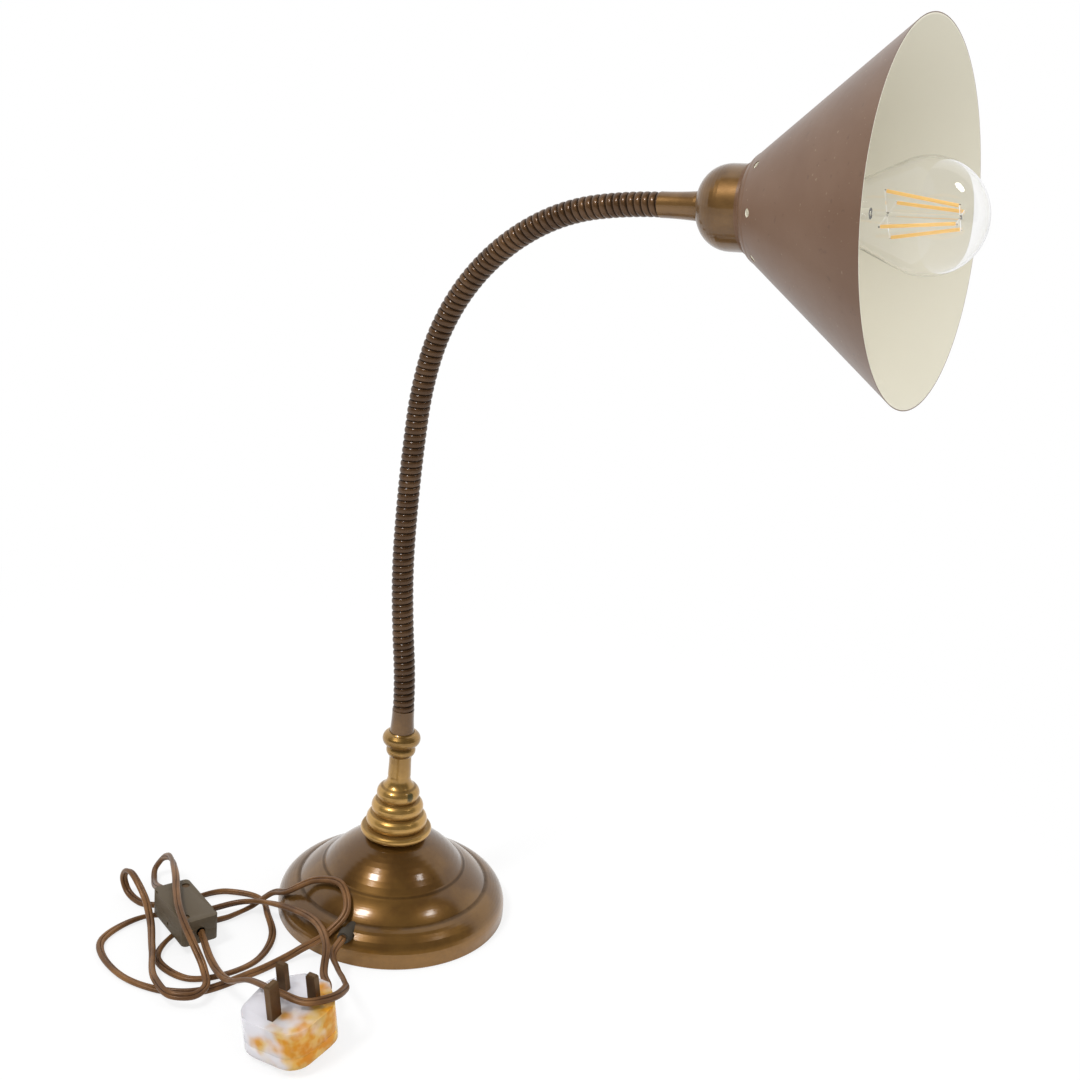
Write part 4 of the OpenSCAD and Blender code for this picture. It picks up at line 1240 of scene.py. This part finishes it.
    def build(self) -> list[bpy.types.Object]:
        """Adds the lengths, which each bend smoothly over a hinge.

        Returns:
            The lengths, from the base to the head.
        """
        line, run = self.centreline()
        tree = self._winding()
        strips = []
        count = len(self.bends)
        for index in range(count - 1):
            low = 0.0 if index == 0 else (index + 0.5) * self.stretch
            high = count * self.stretch if index == count - 2 else (index + 1.5) * self.stretch
            inside = (run >= low - 1e-7) & (run <= high + 1e-7)
            strip = self._length(tree, index, line[inside], low)
            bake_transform(strip)
            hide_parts(f"neck_turns_{index:02d}")
            if index == count - 2:
                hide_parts(f"neck_turns_{count - 1:02d}")
            strips.append(strip)
        return strips


# ---------------------------------------------------------------- bulb


@dataclass
class GlassEnvelope:
    """The bulb's blown glass: one thin wall, turned finely enough to bend light smoothly.

    Mouth and throat are a radius and a height along the head's axis, and hollow is how far the
    wall between them bows in.
    """

    frame: Matrix
    mouth: tuple[float, float] = (10.45 * MM, 90.01 * MM)
    cap_end: float = 99.01 * MM
    throat: tuple[float, float] = (13.6 * MM, 104.01 * MM)
    hollow: float = 0.5 * MM
    centre: float = 147.5 * MM
    radius: float = 30.0 * MM
    start_angle: float = -22.0
    wall: float = 0.8 * MM
    throat_steps: int = 11
    ball_steps: int = 57
    sides: int = 96

    def _profile(self, inset: float) -> list[tuple[float, float]]:
        """Radius and height of the wall's points, from the mouth to the crown.

        Args:
            inset: Depth below the outer face.

        Returns:
            Points of one face of the wall.
        """
        low = np.array([self.mouth[0] - inset, self.cap_end])
        high = np.array([self.throat[0] - inset, self.throat[1]])
        chord = high - low
        outward = np.array([chord[1], -chord[0]]) / np.linalg.norm(chord)
        points = [(self.mouth[0] - inset, self.mouth[1])]
        for t in np.linspace(0.0, 1.0, self.throat_steps):
            points.append(tuple(low + chord * t - outward * self.hollow * 4 * t * (1 - t)))
        radius = self.radius - inset
        for angle in np.radians(np.linspace(self.start_angle, 90.0, self.ball_steps)):
            points.append((radius * math.cos(angle), self.centre + radius * math.sin(angle)))
        return points

    def build(self) -> bpy.types.Object:
        """Adds the glass in place of the CAD node.

        Returns:
            The glass.
        """
        outline = self._profile(0.0) + self._profile(self.wall)[::-1]
        count = len(outline)
        turns = [2 * math.pi * k / self.sides for k in range(self.sides)]
        points = [self.frame @ Vector((r * math.cos(a), r * math.sin(a), s))
                  for a in turns for r, s in outline]
        faces = [(k * count + i, (k + 1) % self.sides * count + i,
                  (k + 1) % self.sides * count + (i + 1) % count, k * count + (i + 1) % count)
                 for k in range(self.sides) for i in range(count)]
        glass = add_mesh("bulb_envelope", points, faces, [Surface.GLASS.material()], 60.0)
        face_outwards(glass.data, MERGE_DISTANCE)
        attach(glass, "head")
        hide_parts("bulb_glass")
        return glass


# ---------------------------------------------------------------- shade


@dataclass
class ConeShade:
    """The cone shade, whose paint changes where its sheet's middle lies.

    Places are along the head's axis, and the radii are the sheet's outer face, in millimetres.
    """

    frame: Matrix
    start: float = 60.01
    start_radius: float = 30.2
    end: float = 146.0
    end_radius: float = 97.6
    half_wall: float = 0.57
    outside: Colour = (0.118, 0.058, 0.028)
    outside_worn: Colour = (0.142, 0.076, 0.041)
    inside: Colour = (0.755, 0.720, 0.595)

    def build(self) -> None:
        """Gives the shade its enamel."""
        axis = self.frame.to_3x3() @ Vector(UP)
        cone = (self.start * MM, (self.start_radius - self.half_wall) * MM,
                self.end * MM, (self.end_radius - self.half_wall) * MM)
        enamel = Enamel("shade_enamel", self.outside, self.outside_worn, self.inside,
                        tuple(self.frame.translation), tuple(axis), cone)
        give_finish(bpy.data.objects["shade"].data, enamel.material())


# ---------------------------------------------------------------- carried-over pieces


@dataclass
class Dressing:
    """Finishes of the CAD nodes that show as they are."""

    finishes: dict[Surface, tuple[str, ...]]

    def build(self) -> int:
        """Gives each node its finish.

        Returns:
            How many nodes were dressed.
        """
        done = 0
        for surface, nodes in self.finishes.items():
            for node in nodes:
                give_finish(bpy.data.objects[node].data, surface.material())
                done += 1
        return done


def head_frame(neck: WoundNeck) -> Matrix:
    """Frame of the head.

    Args:
        neck: The neck that carries it.

    Returns:
        The frame at the neck's upper end, with Z along the head's axis.
    """
    line, _ = neck.centreline()
    tilt = math.radians(sum(neck.bends))
    return Matrix.Translation(line[-1]) @ Matrix.Rotation(tilt, 4, "Y")


def flex_nodes(neck: WoundNeck) -> tuple[str, ...]:
    """Nodes of the cable inside the neck."""
    return tuple(f"neck_flex_{i:02d}" for i in range(len(neck.bends)))


def main() -> None:
    """Builds the lamp in order."""
    logging.basicConfig(level=logging.INFO, format="%(name)s: %(message)s")
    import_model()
    StudioCamera().build()
    LOG.info("camera placed")
    switch = [part.build() for part in SWITCH_PARTS]
    plug = [part.build() for part in PLUG_PARTS]
    LOG.info("switch and plug rounded")
    TwinCord("cord_base_to_switch", "cord_to_switch", ROUTE_TO_SWITCH, "fitting",
             ["cord_grommet", *switch, *IN_SWITCH], twist_start=0.4).build()
    TwinCord("cord_switch_to_plug", "cord_to_plug", ROUTE_TO_PLUG, "plug",
             [*plug, *IN_PLUG], twist_start=0.3).build()
    LOG.info("cords laid")
    neck = WoundNeck()
    neck.build()
    LOG.info("neck wound")
    head = head_frame(neck)
    ConeShade(head).build()
    GlassEnvelope(head).build()
    LOG.info("shade painted and bulb blown")
    dressed = Dressing({
        Surface.BASE_BRASS: ("base_shell",),
        Surface.STEM_BRASS: ("stem_foot", "stem_collar"),
        Surface.CUP_BRASS: ("lower_ferrule", "upper_ferrule", "holder_cup"),
        Surface.BARE_BRASS: ("threaded_tube", "holder_nipple", "holder_cap", "holder_barrel",
                             "shade_ring", "contact_plungers", "switch_contacts", "plug_screws"),
        Surface.PIN_BRASS: ("earth_pin", "line_and_neutral_pins", "switch_screws"),
        Surface.ZINC: ("tube_nut", "tube_washer", "cup_nut"),
        Surface.IRON: ("base_weight",),
        Surface.FELT: ("base_felt",),
        Surface.RUBBER: ("cord_grommet",),
        Surface.BLACK: ("insulator_insert", "plug_cord_grip"),
        Surface.FLEX: flex_nodes(neck),
        Surface.GLASS: ("bulb_mount",),
        Surface.ALUMINIUM: ("bulb_cap",),
        Surface.AMBER: ("led_filaments",),
        Surface.CERAMIC: ("plug_fuse",),
    }).build()
    LOG.info("%d nodes dressed", dressed)
    Studio().build()
    LOG.info("studio lit")


if __name__ == "__main__":
    main()
